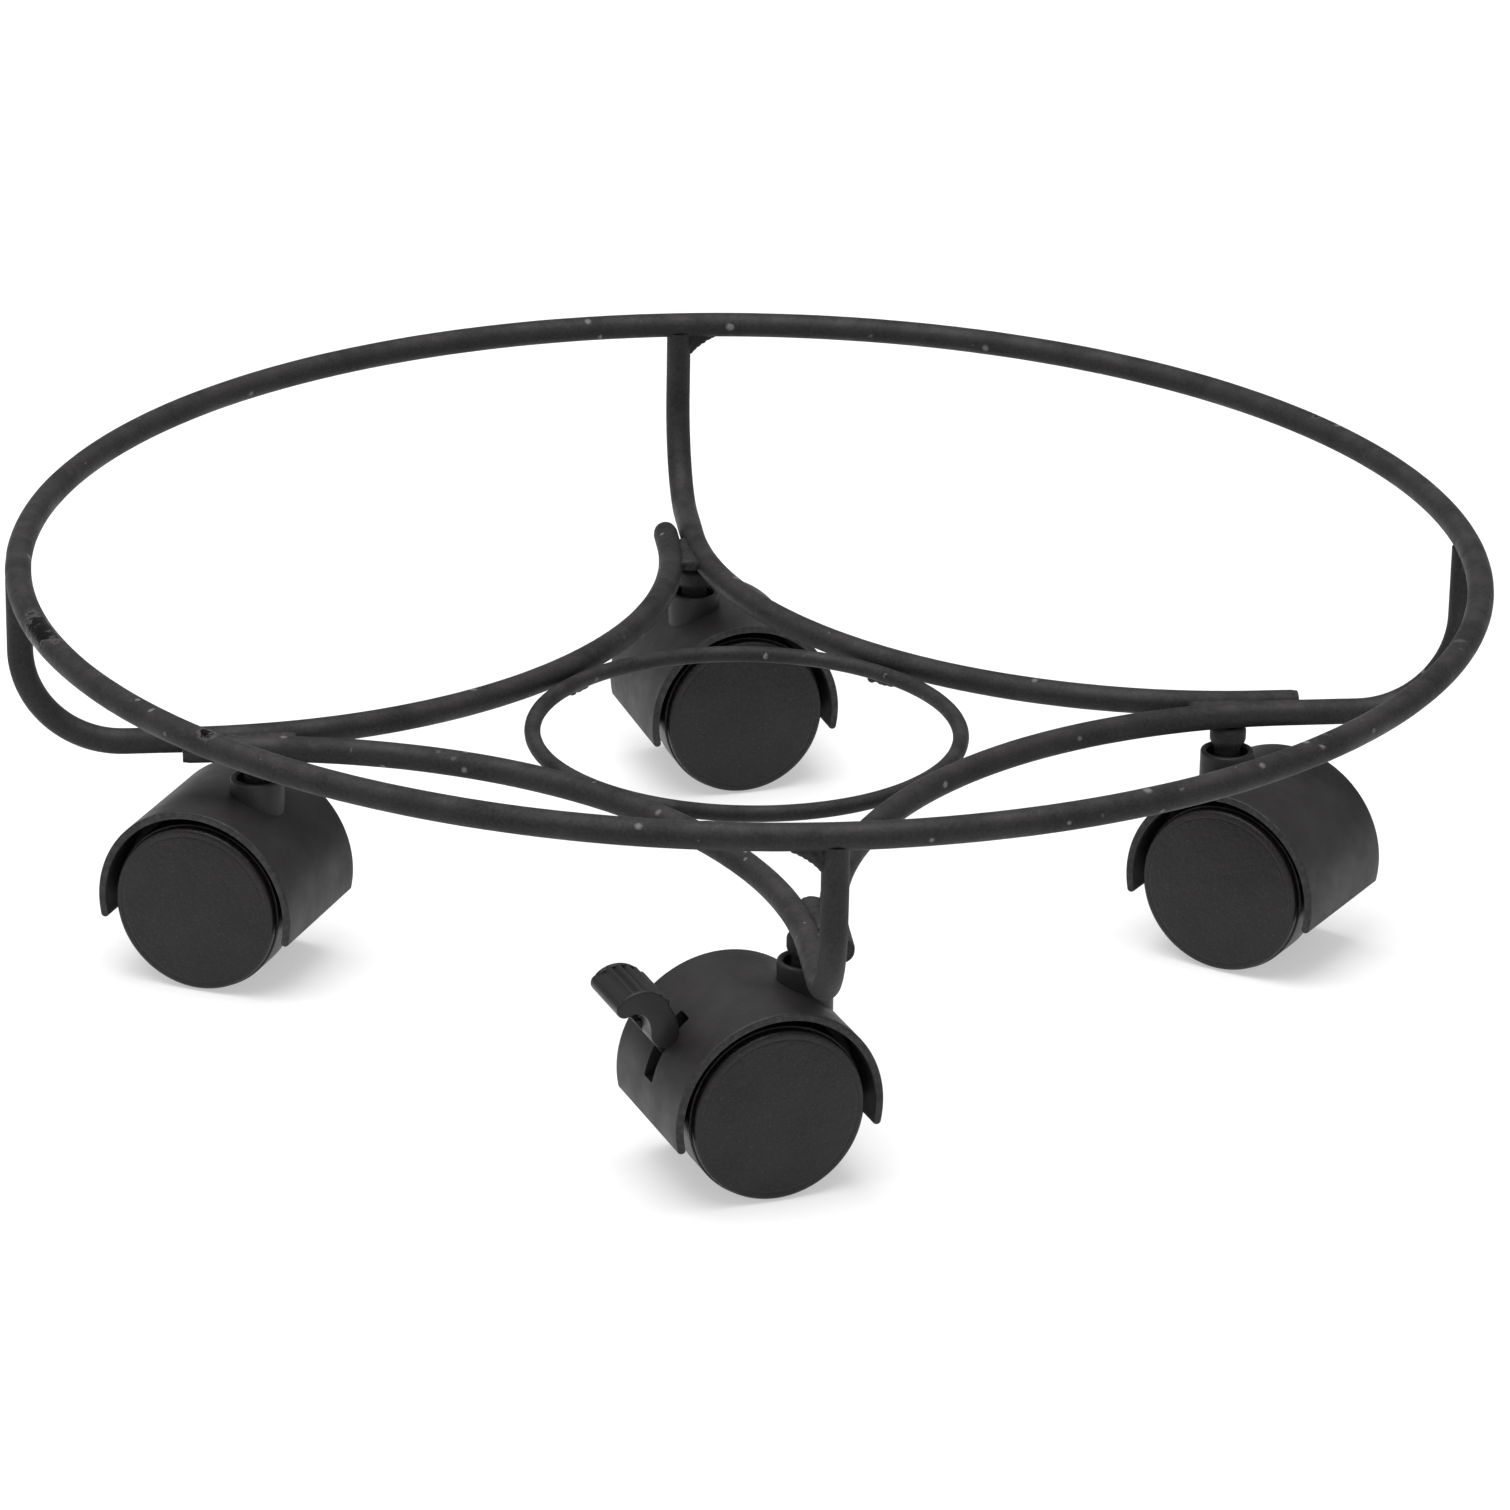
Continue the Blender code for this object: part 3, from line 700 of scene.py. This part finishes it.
def onRing(degrees, radius=None, height=0.0):
    turn = radians(degrees)
    radius = radius or frameSizes["ringRadius"]
    return Vector((radius * cos(turn), radius * sin(turn), ringZ + height))


ringMarks = {
    "jointLine": 183.9,        # where the two ends of the rod meet
    # worn patches: degrees round the ring, reach, strength
    "chipped": (201.4, 0.0130, 0.95),
    "nick": (226.6, 0.0046, 0.8),
    "rough": (268.0, 0.0055, 0.55),
    "smallNicks": (35.0, 78.0, 118.0, 152.0, 236.0, 292.0, 318.0, 341.0),
}


def near(co, place, reach):
    return exp(-((co - place).length / reach) ** 2)


def wornRing(co):
    value = 0.0
    for name in ("chipped", "nick", "rough"):
        degrees, reach, strength = ringMarks[name]
        value = max(value, strength * near(co, onRing(degrees, height=rodRadius), reach))
    for degrees in ringMarks["smallNicks"]:
        value = max(value, 0.72 * near(co, onRing(degrees, height=rodRadius * 0.8), 0.0022))
    return value


def circlePoints(radius, height, steps):
    return [
        Vector((radius * cos(2 * pi * i / steps), radius * sin(2 * pi * i / steps), height))
        for i in range(steps)
    ]


ringBumps = [
    (onRing(ringMarks["rough"][0], height=rodRadius), 0.00016, 0.0030),
    (onRing(267.2, height=rodRadius * 0.6), 0.00012, 0.0016),
    (onRing(ringMarks["jointLine"]), -0.00016, 0.0030),
]
ringPoints = circlePoints(frameSizes["ringRadius"], ringZ, 900)
ringUneven = unevenRadius(rodRadius, frameSizes["uneven"], 3.1, ringBumps)
finishPiece(
    "topRing", rodShape(ringPoints, ringUneven, frameSizes["sides"], True),
    "frame", powderCoat, ["top_ring"], {"worn": wornRing},
)

innerPoints = circlePoints(innerRadius, innerZ, 420)
innerUneven = unevenRadius(wireRadius, frameSizes["uneven"], 7.7)
finishPiece(
    "innerRing", rodShape(innerPoints, innerUneven, 20, True),
    "frame", powderCoat, ["inner_ring"],
    {"worn": lambda co: 0.6 * near(co, Vector((0.02, -innerRadius, innerZ)), 0.003)},
)


def armPath():
    # down the post, round the foot bend, and round the sweep towards -Y
    size = frameSizes
    spots = [Vector((size["ringRadius"], 0.0, ringZ - rodRadius + size["postSink"]))]
    top = ringZ - rodRadius
    foot = armZ + size["footBend"]
    for i in range(12):
        spots.append(Vector((size["ringRadius"], 0.0, top + (foot - top) * i / 12)))
    for i in range(27):
        turn = pi / 2 * i / 26
        spots.append(Vector((
            size["ringRadius"] - size["footBend"] * (1 - cos(turn)), 0.0, foot - size["footBend"] * sin(turn),
        )))
    for i in range(1, 13):
        spots.append(Vector((
            size["ringRadius"] - size["footBend"] - size["legStraight"] * i / 13, 0.0, armZ,
        )))
    for i in range(101):
        turn = pi / 2 * i / 100
        spots.append(Vector((
            armSpacing + sweepRadius * (1 - sin(turn)), -sweepRadius * (1 - cos(turn)), armZ,
        )))
    for i in range(1, 7):
        spots.append(Vector((armSpacing, -sweepRadius - (armEnd - sweepRadius) * i / 6, armZ)))
    return spots


for i, leg in enumerate(legs):
    turned = Matrix.Rotation(frameSizes["turn"] + i * pi / 2, 3, "Z")
    path = [turned @ spot for spot in armPath()]
    last = len(path) - 1

    def armRadius(place, along, seed=float(i), last=last):
        value = unevenRadius(rodRadius, frameSizes["uneven"], 11.0 + seed)(place, along)
        return value * 0.93 if along == last else value

    end = path[-1]

    def armWorn(co, end=end):
        return 0.85 * near(co, end, 0.0035)

    finishPiece(
        "arm" + leg.capitalize(), rodShape(path, armRadius, frameSizes["sides"], False),
        "frame", powderCoat, ["arm_" + leg], {"worn": armWorn},
    )
print("rings and arms shaped")


# welds

weldSizes = {
    "postLength": 0.0068,
    "postHeight": 0.0046,
    "voxel": 0.00022,
    "rough": 0.00010,
    "webFrom": 0.1040,
    "webTo": 0.1190,
    "webBeads": 26,
}


def grooveAt(radius):
    # middle of the groove between an arm's end and the next leg, and the distance between their middles
    armOffset = sweepRadius - sqrt(sweepRadius ** 2 - max(sweepRadius - radius, 0.0) ** 2)
    legOffset = sweepRadius - sqrt(sweepRadius ** 2 - max(sweepRadius + armSpacing - radius, 0.0) ** 2)
    return (armSpacing + armOffset - legOffset) / 2, armSpacing + armOffset + legOffset


def middleOf(node):
    low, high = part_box(node)
    return (low + high) / 2


def weldShape(lumps, seed, rough=1.0, soften=4):
    return lumpShape("weld", lumps, weldSizes["voxel"], weldSizes["rough"] * rough, seed, soften)


for i, leg in enumerate(legs):
    turned = Matrix.Rotation(frameSizes["turn"] + i * pi / 2, 3, "Z")
    radial = turned @ Vector((1.0, 0.0, 0.0))
    around = turned @ Vector((0.0, -1.0, 0.0))
    corner = radial * frameSizes["ringRadius"] + around * rodRadius * 0.8
    lumps = []
    for across in range(6):
        for down in range(6 - across):
            # a filled triangle under the ring, hollowed a little on its slope
            out = weldSizes["postLength"] * 0.86 * (across / 5) ** 1.15
            drop = weldSizes["postHeight"] * 0.92 * (down / 5) ** 1.15
            place = corner + around * out + Vector((0.0, 0.0, ringZ - rodRadius * 0.8 - drop))
            wave = 0.00016 * sin(3.1 * across + 4.3 * down + 2 * i)
            lumps.append((place, (0.00135 + wave, 0.00135, 0.00115), turned))
    slope = corner + around * 0.004 + Vector((0.0, 0.0, ringZ - 0.006))
    finishPiece(
        "postWeld" + leg.capitalize(), weldShape(lumps, i * 3.3),
        "frame", weldCoat, ["post_weld_" + leg],
        {"worn": lambda co, slope=slope: 0.6 * near(co, slope, 0.003)},
    )

    # the web that fills the groove between the two rods, over the stem
    lumps = []
    for k in range(weldSizes["webBeads"]):
        share = k / (weldSizes["webBeads"] - 1)
        radius = weldSizes["webFrom"] + (weldSizes["webTo"] - weldSizes["webFrom"]) * share
        side, split = grooveAt(radius)
        wave = 0.00010 * sin(1.3 * k + 2 * i)
        place = radial * radius - around * side + Vector((0.0, 0.0, armZ + 0.0005 + wave))
        lumps.append((place, (0.0012, split / 2 - rodRadius + 0.0011, 0.0016), turned))
    finishPiece(
        "crotchWeld" + leg.capitalize(), weldShape(lumps, 20 + i * 2.1, 1.5, soften=16),
        "frame", weldCoat, ["crotch_weld_" + leg],
    )

    # the tack under an arm where it passes the inner ring
    middle = middleOf("inner_weld_" + leg)
    inward = Vector((-middle.x, -middle.y, 0.0)).normalized()
    across = Vector((0.0, 0.0, 1.0)).cross(inward)
    lumps = []
    for k in range(5):
        t = k / 4 - 0.5
        place = middle + across * 0.0052 * t + inward * (0.0006 + 0.0003 * cos(4 * k))
        place += Vector((0.0, 0.0, 0.0007))
        lumps.append((place, (0.0012, 0.0012, 0.0010 + 0.0002 * sin(3 * k + i)), turned))
    finishPiece(
        "innerWeld" + leg.capitalize(), weldShape(lumps, 40 + i * 1.7),
        "frame", weldCoat, ["inner_weld_" + leg],
    )
print("welds shaped")


# stems

stemSizes = {
    "collarRadius": 0.0042,
    "pinRadius": 0.0030,
    "collarHeight": 0.0052,
    "taper": 0.0010,
    "sides": 64,
    "topSink": 0.0004,         # weld pad under the two rods
}

for leg in legs:
    low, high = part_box("stem_" + leg)
    centre = Vector(((low.x + high.x) / 2, (low.y + high.y) / 2, 0.0))
    foot = high.z - stemSizes["collarHeight"]
    radius, pin = stemSizes["collarRadius"], stemSizes["pinRadius"]
    profile = roundProfile([
        (0.0, high.z + stemSizes["topSink"]),
        (radius - 0.0008, high.z + stemSizes["topSink"]),
        (radius, high.z - 0.0004),
        (radius, foot + 2 * stemSizes["taper"]),
        (radius - stemSizes["taper"], foot + stemSizes["taper"] / 2),
        (pin, foot),
        (pin, low.z + 0.0006),
        (pin - 0.0006, low.z),
        (0.0, low.z),
    ], {1: 0.0004, 2: 0.0005, 3: 0.0007, 4: 0.0005, 5: 0.0004, 6: 0.0003, 7: 0.0003})
    shaped = turnedShape(profile, stemSizes["sides"])
    bmesh.ops.translate(shaped, vec=centre, verts=shaped.verts)
    finishPiece("stem" + leg.capitalize(), shaped, "frame", powderCoat, ["stem_" + leg])
print("stems shaped")


# hoods, axles, wheels and covers

def casterPlace(leg):
    # axle line of a caster: +X is the way it trails, +Y along the axle
    roll = jointNamed["roll_{}_a".format(leg)]
    along = Vector(roll["axis"]).normalized()
    trail = along.cross(Vector((0.0, 0.0, 1.0)))
    spot = Vector(roll["pos_m"])
    swivel = Vector(jointNamed["swivel_" + leg]["pos_m"])
    turned = Matrix((trail, along, Vector((0.0, 0.0, 1.0)))).transposed().to_4x4()
    turned.translation = spot
    return turned, (spot - swivel).dot(trail)


hoodSizes = {
    "inner": 0.0220,
    "wall": 0.0018,
    "half": 0.0182,
    "skirt": 0.0054,           # lower edge, below the axle
    "edgeRound": 0.0008,
    "rim": 0.00035,            # rounding of the side edges
    "middle": 0.0110,
    "middleLift": 0.0008,
    "neckRadius": 0.0062,
    "neckRise": 0.0036,
    "neckWall": 0.0014,
    "neckWell": 0.0030,
    "bore": 0.0034,
    "boreFloor": 0.0061,       # bottom of the stem's bore, above the axle
    "axleHole": 0.0023,
    "slotWidth": 0.0046,
    "slotFloor": 0.0115,
    "slot": (radians(11), radians(51)),
    "pinHole": 0.0015,
    "steps": 110,
    "cutHalf": 0.009,          # how far a hole's cutter reaches to each side
}


def hoodShape(trail, braked, pivot):
    size = hoodSizes
    outer = size["inner"] + size["wall"]
    low = asin((size["skirt"] - size["edgeRound"]) / outer)
    innerLow = asin((size["skirt"] - size["edgeRound"]) / size["inner"])
    foot = -size["skirt"]
    outerX, innerX = outer * cos(low), size["inner"] * cos(innerLow)

    def footEnd(middle, half):
        # rounded lower end of the wall, without the points that the arcs already give
        turns = [pi * k / 10 for k in range(1, 10)]
        return [(middle - half * cos(turn), foot + size["edgeRound"] * (1 - sin(turn))) for turn in turns]

    footMiddle, footHalf = (outerX + innerX) / 2, (outerX - innerX) / 2
    arch = arcPoints(outer, -low, pi + low, size["steps"]) + footEnd(-footMiddle, footHalf)
    arch += arcPoints(size["inner"], pi + innerLow, -innerLow, size["steps"]) + footEnd(footMiddle, footHalf)
    middleRadius = size["inner"] + size["wall"] / 2
    middleLow = asin((size["skirt"] - size["middleLift"]) / middleRadius)
    middle = arcPoints(middleRadius, -middleLow, pi + middleLow, size["steps"])
    crown = outer + size["neckRise"]
    neckFoot = sqrt(outer ** 2 - (trail + size["neckRadius"]) ** 2) - size["wall"] / 2
    neck = turnedShape(roundProfile([
        (0.0, crown), (size["neckRadius"], crown), (size["neckRadius"], neckFoot), (0.0, neckFoot),
    ], {1: 0.0007}), 96)
    well = size["neckRadius"] - size["neckWall"]
    hollow = turnedShape([
        (0.0, crown + 0.002), (well + 0.0012, crown + 0.002), (well + 0.0005, crown + 0.00002),
        (well, crown - 0.0005), (well, crown - size["neckWell"]),
        (size["bore"], crown - size["neckWell"] - 0.0004), (size["bore"], size["boreFloor"]), (0.0, size["boreFloor"]),
    ], 96)
    for part in (neck, hollow):
        bmesh.ops.translate(part, vec=(-trail, 0.0, 0.0), verts=part.verts)
    rows = (0.965, 0.92, 0.8, 0.6, 0.3, 0.05)
    shell = slabShape(arch, size["half"], size["rim"], rows=rows, arcSteps=size["steps"])
    steps = [(shell, None), (slabShape(middle, size["middle"] / 2, 0.0003), "UNION")]
    neckParts = [(neck, None)]
    for side in (-1, 1):
        clear = turnedShape([(0.0, 0.02), (middleRadius, 0.02), (middleRadius, 0.0), (0.0, 0.0)], 128)
        bmesh.ops.rotate(clear, matrix=Matrix.Rotation(-side * pi / 2, 3, "X"), verts=clear.verts)
        bmesh.ops.translate(clear, vec=(0.0, side * (size["middle"] / 2 - 0.0008), 0.0), verts=clear.verts)
        neckParts.append((clear, "DIFFERENCE"))
    steps.append((cutAndJoin("neck", neckParts), "UNION"))
    steps.append((hollow, "DIFFERENCE"))
    steps.append((crossShape(plainPin(size["axleHole"], size["cutHalf"]), 40), "DIFFERENCE"))
    if braked:
        lowTurn, highTurn = size["slot"]
        slot = arcPoints(size["slotFloor"], highTurn, lowTurn, 12)
        slot += arcPoints(outer + 0.002, lowTurn, highTurn, 12)
        steps.append((slabShape(slot, size["slotWidth"] / 2, 0.0004), "DIFFERENCE"))
        steps.append((crossShape(plainPin(size["pinHole"], size["cutHalf"]), 32, pivot), "DIFFERENCE"))
    return cutAndJoin("hood", steps)


wheelSizes = {
    "radius": 0.0200,
    "inside": 0.0059,          # inner face, from the middle of the caster
    "treadRound": 0.0012,
    "rimTop": 0.0158,
    "recess": 0.0188,
    "recessFloor": 0.0139,
    "web": 0.0018,
    "hollow": 0.0164,
    "hub": 0.0046,
    "bore": 0.0023,
    "hubFace": 0.0063,
    "sides": 128,
}

coverSizes = {
    "radius": 0.0196,
    "face": 0.0190,            # crown of its dome, from the middle of the caster
    "dome": 0.00100,
    "edgeHeight": 0.0018,
    "edgeRound": 0.0010,
    "lineAt": 0.0178,          # fine moulded line inside the rim
    "lineDepth": 0.00008,
    "spigot": 0.0185,
    "spigotEnd": 0.0142,
    "domePower": 2.1,
    "lineReach": 0.00022,
}

axleSizes = {"radius": 0.0020, "half": 0.0136, "chamfer": 0.0004}


def wheelShape():
    size = wheelSizes
    web = size["recessFloor"] - size["web"]
    rounds = {
        0: 0.0002, 1: 0.0003, 2: size["treadRound"], 3: 0.0005, 4: 0.0010, 5: 0.0008, 6: 0.0004, 7: 0.0003,
    }
    return turnedShape(roundProfile([
        (size["recess"], size["rimTop"]), (size["radius"], size["rimTop"]), (size["radius"], size["inside"]),
        (size["hollow"], size["inside"]), (size["hollow"], web), (size["hub"], web),
        (size["hub"], size["hubFace"]), (size["bore"], size["hubFace"]),
        (size["bore"], size["recessFloor"]), (size["recess"], size["recessFloor"]),
    ], rounds, closed=True), size["sides"], closed=True)


def coverShape():
    size = coverSizes
    rim = size["radius"] - size["edgeRound"]

    def domed(radius):
        line = size["lineDepth"] * exp(-((radius - size["lineAt"]) / size["lineReach"]) ** 2)
        return radius, size["face"] - size["dome"] * (radius / rim) ** size["domePower"] - line

    radii = [rim * k / 24 for k in range(25)] + [size["lineAt"] + 0.0001 * k for k in range(-5, 6)]
    rounded = sorted(domed(radius) for radius in radii)
    profile = [rounded[0]]
    for radius, height in rounded[1:]:
        if radius - profile[-1][0] > 0.00005:
            profile.append((radius, height))
    top = profile[-1][1]
    for k in range(1, 7):
        turn = pi / 2 * k / 6
        profile.append((rim + size["edgeRound"] * sin(turn), top - size["edgeRound"] * (1 - cos(turn))))
    bottom = size["face"] - 0.0011 - size["edgeHeight"]
    profile += [
        (size["radius"], bottom + 0.0002), (size["radius"] - 0.0002, bottom), (size["spigot"], bottom),
        (size["spigot"], size["spigotEnd"]), (0.0, size["spigotEnd"]),
    ]
    return turnedShape(profile, 128)


def rimMask(place, radius, height, reach):
    # paints a value on the outer corner of a turned piece's rim
    inverse = place.inverted()

    def rule(co):
        local = inverse @ co
        off = (sqrt(local.x ** 2 + local.z ** 2) - radius) ** 2 + (abs(local.y) - height) ** 2
        return exp(-off / reach ** 2)
    return rule


for leg in legs:
    place, trail = casterPlace(leg)
    braked = leg == brakedLeg
    body = "caster_" + leg
    title = leg.capitalize()
    pivotLocal = Vector((0.0, 0.0, 0.0))
    if braked:
        pivotLocal = place.inverted() @ Vector(jointNamed["brake_press"]["pos_m"])
    shaped = hoodShape(trail, braked, pivotLocal)
    bmesh.ops.transform(shaped, matrix=place, verts=shaped.verts)
    inverse = place.inverted()

    def hoodEdge(co, inverse=inverse):
        local = inverse @ co
        side = exp(-((abs(local.y) - hoodSizes["half"]) / 0.0003) ** 2)
        foot = exp(-((local.z + hoodSizes["skirt"]) / 0.0005) ** 2)
        return max(side, foot)

    def hoodWorn(co, inverse=inverse, braked=braked):
        local = inverse @ co
        if braked:
            return 0.9 * near(local, Vector((0.020, 0.0, 0.014)), 0.010)
        return 0.25 * near(local, Vector((0.0, 0.008, 0.023)), 0.012)

    finishPiece(
        "hood" + title, shaped, body, hoodPlastic, ["hood_" + leg],
        {"edge": hoodEdge, "worn": hoodWorn},
    )

    axle = crossShape(chamferedPin(axleSizes["radius"], axleSizes["half"], axleSizes["chamfer"]), 40)
    bmesh.ops.transform(axle, matrix=place, verts=axle.verts)
    finishPiece("axle" + title, axle, body, steel, ["axle_" + leg])

    for side, turn in (("a", -pi / 2), ("b", pi / 2)):
        wheelBody = "wheel_body_{}_{}".format(leg, side)
        tilt = place @ Matrix.Rotation(turn, 4, "X")
        rims = (
            ("wheel", wheelShape(), wheelSizes["radius"], wheelSizes["rimTop"]),
            ("cover", coverShape(), coverSizes["radius"] - 0.0003, coverSizes["face"] - 0.0007),
        )
        for name, shaped, radius, height in rims:
            bmesh.ops.transform(shaped, matrix=tilt, verts=shaped.verts)
            finishPiece(
                name + title + side.upper(), shaped, wheelBody, wheelPlastic,
                ["{}_{}_{}".format(name, leg, side)], {"edge": rimMask(place, radius, height, 0.0004)},
            )
print("casters shaped")


# brake lever and its pin

leverSizes = {
    "pedalWidth": 0.0165,
    "noseThickness": 0.0038,
    "lobeThickness": 0.0064,
    "nose": (0.0318, 0.0252),
    "lobe": (0.0226, 0.0184),
    "noseGuide": (-0.0050, 0.0024),
    "lobeGuide": (0.0004, 0.0056),
    "ribHeight": 0.0009,
    "ribs": 5,
    "cheek": 0.0013,           # smooth end plates of the pedal
    "ribSpan": (0.10, 0.66),
    "armPlate": 0.0013,
    "plateAt": 0.00125,
    "hubRadius": 0.0027,
    "hubHalf": 0.0017,
    "pinRadius": 0.0012,
    "pinHalf": 0.0052,
    "holeRadius": 0.0015,
    "holeHalf": 0.006,
    "pinChamfer": 0.0002,
}


def pedalOutline(ribbed):
    size = leverSizes
    nose, lobe = Vector(size["nose"]), Vector(size["lobe"])
    guides = (nose, nose + Vector(size["noseGuide"]), lobe + Vector(size["lobeGuide"]), lobe)
    steps = 110
    middle = []
    for i in range(steps + 1):
        t = i / steps
        weights = ((1 - t) ** 3, 3 * t * (1 - t) ** 2, 3 * t * t * (1 - t), t ** 3)
        middle.append(sum((point * weight for point, weight in zip(guides, weights)), Vector((0.0, 0.0))))
    top, under = [], []
    for i, spot in enumerate(middle):
        t = i / steps
        along = (middle[min(i + 1, steps)] - middle[max(i - 1, 0)]).normalized()
        out = Vector((-along.y, along.x))
        half = (size["noseThickness"] + (size["lobeThickness"] - size["noseThickness"]) * t) / 2
        start, stop = size["ribSpan"]
        wave = (1 - cos(2 * pi * size["ribs"] * (t - start) / (stop - start))) / 2
        rib = size["ribHeight"] * wave ** 0.55 if ribbed and start < t < stop else 0.0
        if not ribbed:
            rib = size["ribHeight"] * sin(pi * min(1.0, t / stop)) ** 0.6   # cheeks stand level with the ribs
        top.append(spot - out * (half + rib))
        under.append(spot + out * half)

    def roundEnd(start, end, steps):
        centre = (start + end) / 2
        across = start - centre
        return [
            centre + Vector((across.x * cos(pi * i / steps) - across.y * sin(pi * i / steps),
                             across.x * sin(pi * i / steps) + across.y * cos(pi * i / steps)))
            for i in range(1, steps)
        ]
    outline = roundEnd(under[0], top[0], 12) + top + roundEnd(top[-1], under[-1], 14) + under[::-1]
    return [tuple(point) for point in outline]


place, trail = casterPlace(brakedLeg)
pivot = place.inverted() @ Vector(jointNamed["brake_press"]["pos_m"])
size = leverSizes
lobe = Vector(size["lobe"])
plate = [
    (pivot.x - 0.0010, pivot.z + 0.0018), (pivot.x + 0.0012, pivot.z - 0.0019),
    (pivot.x + 0.0064, pivot.z + 0.0008), (lobe.x + 0.0050, lobe.y + 0.0012),
    (lobe.x + 0.0012, lobe.y + 0.0012),
]
plate = roundProfile(plate, {i: 0.0008 for i in range(5)}, 4, closed=True)
steps = [(slabShape(pedalOutline(True), size["pedalWidth"] / 2 - 0.0004, 0.0002), None)]
cheekAt = size["pedalWidth"] / 2 - size["cheek"] / 2
for side in (-1, 1):
    cheek = slabShape(pedalOutline(False), size["cheek"] / 2, 0.0004, rows=(0.5,))
    bmesh.ops.translate(cheek, vec=(0.0, side * cheekAt, 0.0), verts=cheek.verts)
    steps.append((cheek, "UNION"))
for side in (-1, 1):
    made = slabShape(plate, size["armPlate"] / 2, 0.0002)
    bmesh.ops.translate(made, vec=(0.0, side * size["plateAt"], 0.0), verts=made.verts)
    steps.append((made, "UNION"))
hub = crossShape(plainPin(size["hubRadius"], size["hubHalf"]), 48, pivot)
hole = crossShape(plainPin(size["holeRadius"], size["holeHalf"]), 32, pivot)
steps += [(hub, "UNION"), (hole, "DIFFERENCE")]
lever = cutAndJoin("lever", steps)
bmesh.ops.transform(lever, matrix=place, verts=lever.verts)
inverse = place.inverted()


def leverWorn(co):
    return 0.3 * near(inverse @ co, Vector((*leverSizes["lobe"], 0.0)).xzy, 0.004)


finishPiece("brakeLever", lever, "brake", leverPlastic, ["brake_lever"], {"worn": leverWorn})

pin = crossShape(chamferedPin(size["pinRadius"], size["pinHalf"], size["pinChamfer"]), 32, pivot)
bmesh.ops.transform(pin, matrix=place, verts=pin.verts)
finishPiece("brakePin", pin, "caster_front", steel, ["brake_pin"])
print("brake lever shaped")


# floor, light and camera

studio = {
    "floorDark": (0.56, 0.56, 0.56, 1.0),
    "floorColour": (0.58, 0.58, 0.58, 1.0),
    "floorGlow": 0.45,
    "world": 0.36,
    "overhead": 30.0,
    "frontFill": 2.0,
    "side": 2.0,
}

floorMesh = bpy.data.meshes.new("floor")
shaped = bmesh.new()
bmesh.ops.create_circle(shaped, cap_ends=True, segments=96, radius=6.0)
shaped.to_mesh(floorMesh)
shaped.free()
floor = bpy.data.objects.new("floor", floorMesh)
floor.location.z = -0.0001
bpy.context.scene.collection.objects.link(floor)
material, tree, shader, place = startMaterial("paleFloor")
tone = toneOf(tree, place, {
    "patches": 2.0, "dark": studio["floorDark"], "light": studio["floorColour"],
})
tree.links.new(tone["Color"], shader["Base Color"])
shader["Roughness"].default_value = 0.9
shader["Specular IOR Level"].default_value = 0.1
shader["Emission Color"].default_value = (1.0, 1.0, 1.0, 1.0)
shader["Emission Strength"].default_value = studio["floorGlow"]
floorMesh.materials.append(material)

world = bpy.data.worlds.new("studio")
world.use_nodes = True
bpy.context.scene.world = world
world.node_tree.nodes["Background"].inputs[0].default_value = (1.0, 1.0, 1.0, 1.0)
world.node_tree.nodes["Background"].inputs[1].default_value = studio["world"]


def addLight(name, energy, size, spot, target=(0.0, 0.0, 0.05)):
    data = bpy.data.lights.new(name, "AREA")
    data.energy = energy
    data.shape = "RECTANGLE"
    data.size, data.size_y = size
    light = bpy.data.objects.new(name, data)
    light.location = spot
    light.rotation_mode = "QUATERNION"
    light.rotation_quaternion = (Vector(target) - Vector(spot)).to_track_quat("-Z", "Y")
    bpy.context.scene.collection.objects.link(light)
    return light


addLight("overheadSoftbox", studio["overhead"], (1.5, 1.5), (-0.15, -0.15, 1.45))
addLight("frontFill", studio["frontFill"], (1.4, 0.8), (0.5, -1.6, 0.9))
addLight("sideFill", studio["side"], (0.8, 1.2), (-1.5, -0.4, 0.7))

cameraFit = {
    "distance": 1.5822,
    "elevation": 0.41356,
    "roll": 0.0179,
    "focal": 6814.46 / 1510,     # in frame widths
    "middle": (746.3 / 1510, 951.5 / 1510),
}
elevation, roll = cameraFit["elevation"], cameraFit["roll"]
forward = Vector((0.0, cos(elevation), -sin(elevation)))
level = Vector((1.0, 0.0, 0.0))
upward = level.cross(forward)
pitch = atan((cameraFit["middle"][1] - 0.5) / cameraFit["focal"])
aim = forward * cos(pitch) + upward * sin(pitch)
rise = upward * cos(pitch) - forward * sin(pitch)
right = level * cos(roll) + rise * sin(roll)
rise = rise * cos(roll) - level * sin(roll)
cameraData = bpy.data.cameras.new("camera")
cameraData.sensor_width = 36.0
cameraData.lens = 36.0 * cameraFit["focal"]
cameraData.shift_x = 0.5 - cameraFit["middle"][0]
cameraData.clip_start = 0.02
cameraData.clip_end = 30.0
camera = bpy.data.objects.new("camera", cameraData)
turned = Matrix((right, rise, -aim)).transposed().to_4x4()
turned.translation = -forward * cameraFit["distance"]
camera.matrix_world = turned
bpy.context.scene.collection.objects.link(camera)
bpy.context.scene.camera = camera
bpy.context.scene.view_settings.view_transform = "Standard"
print("studio set")
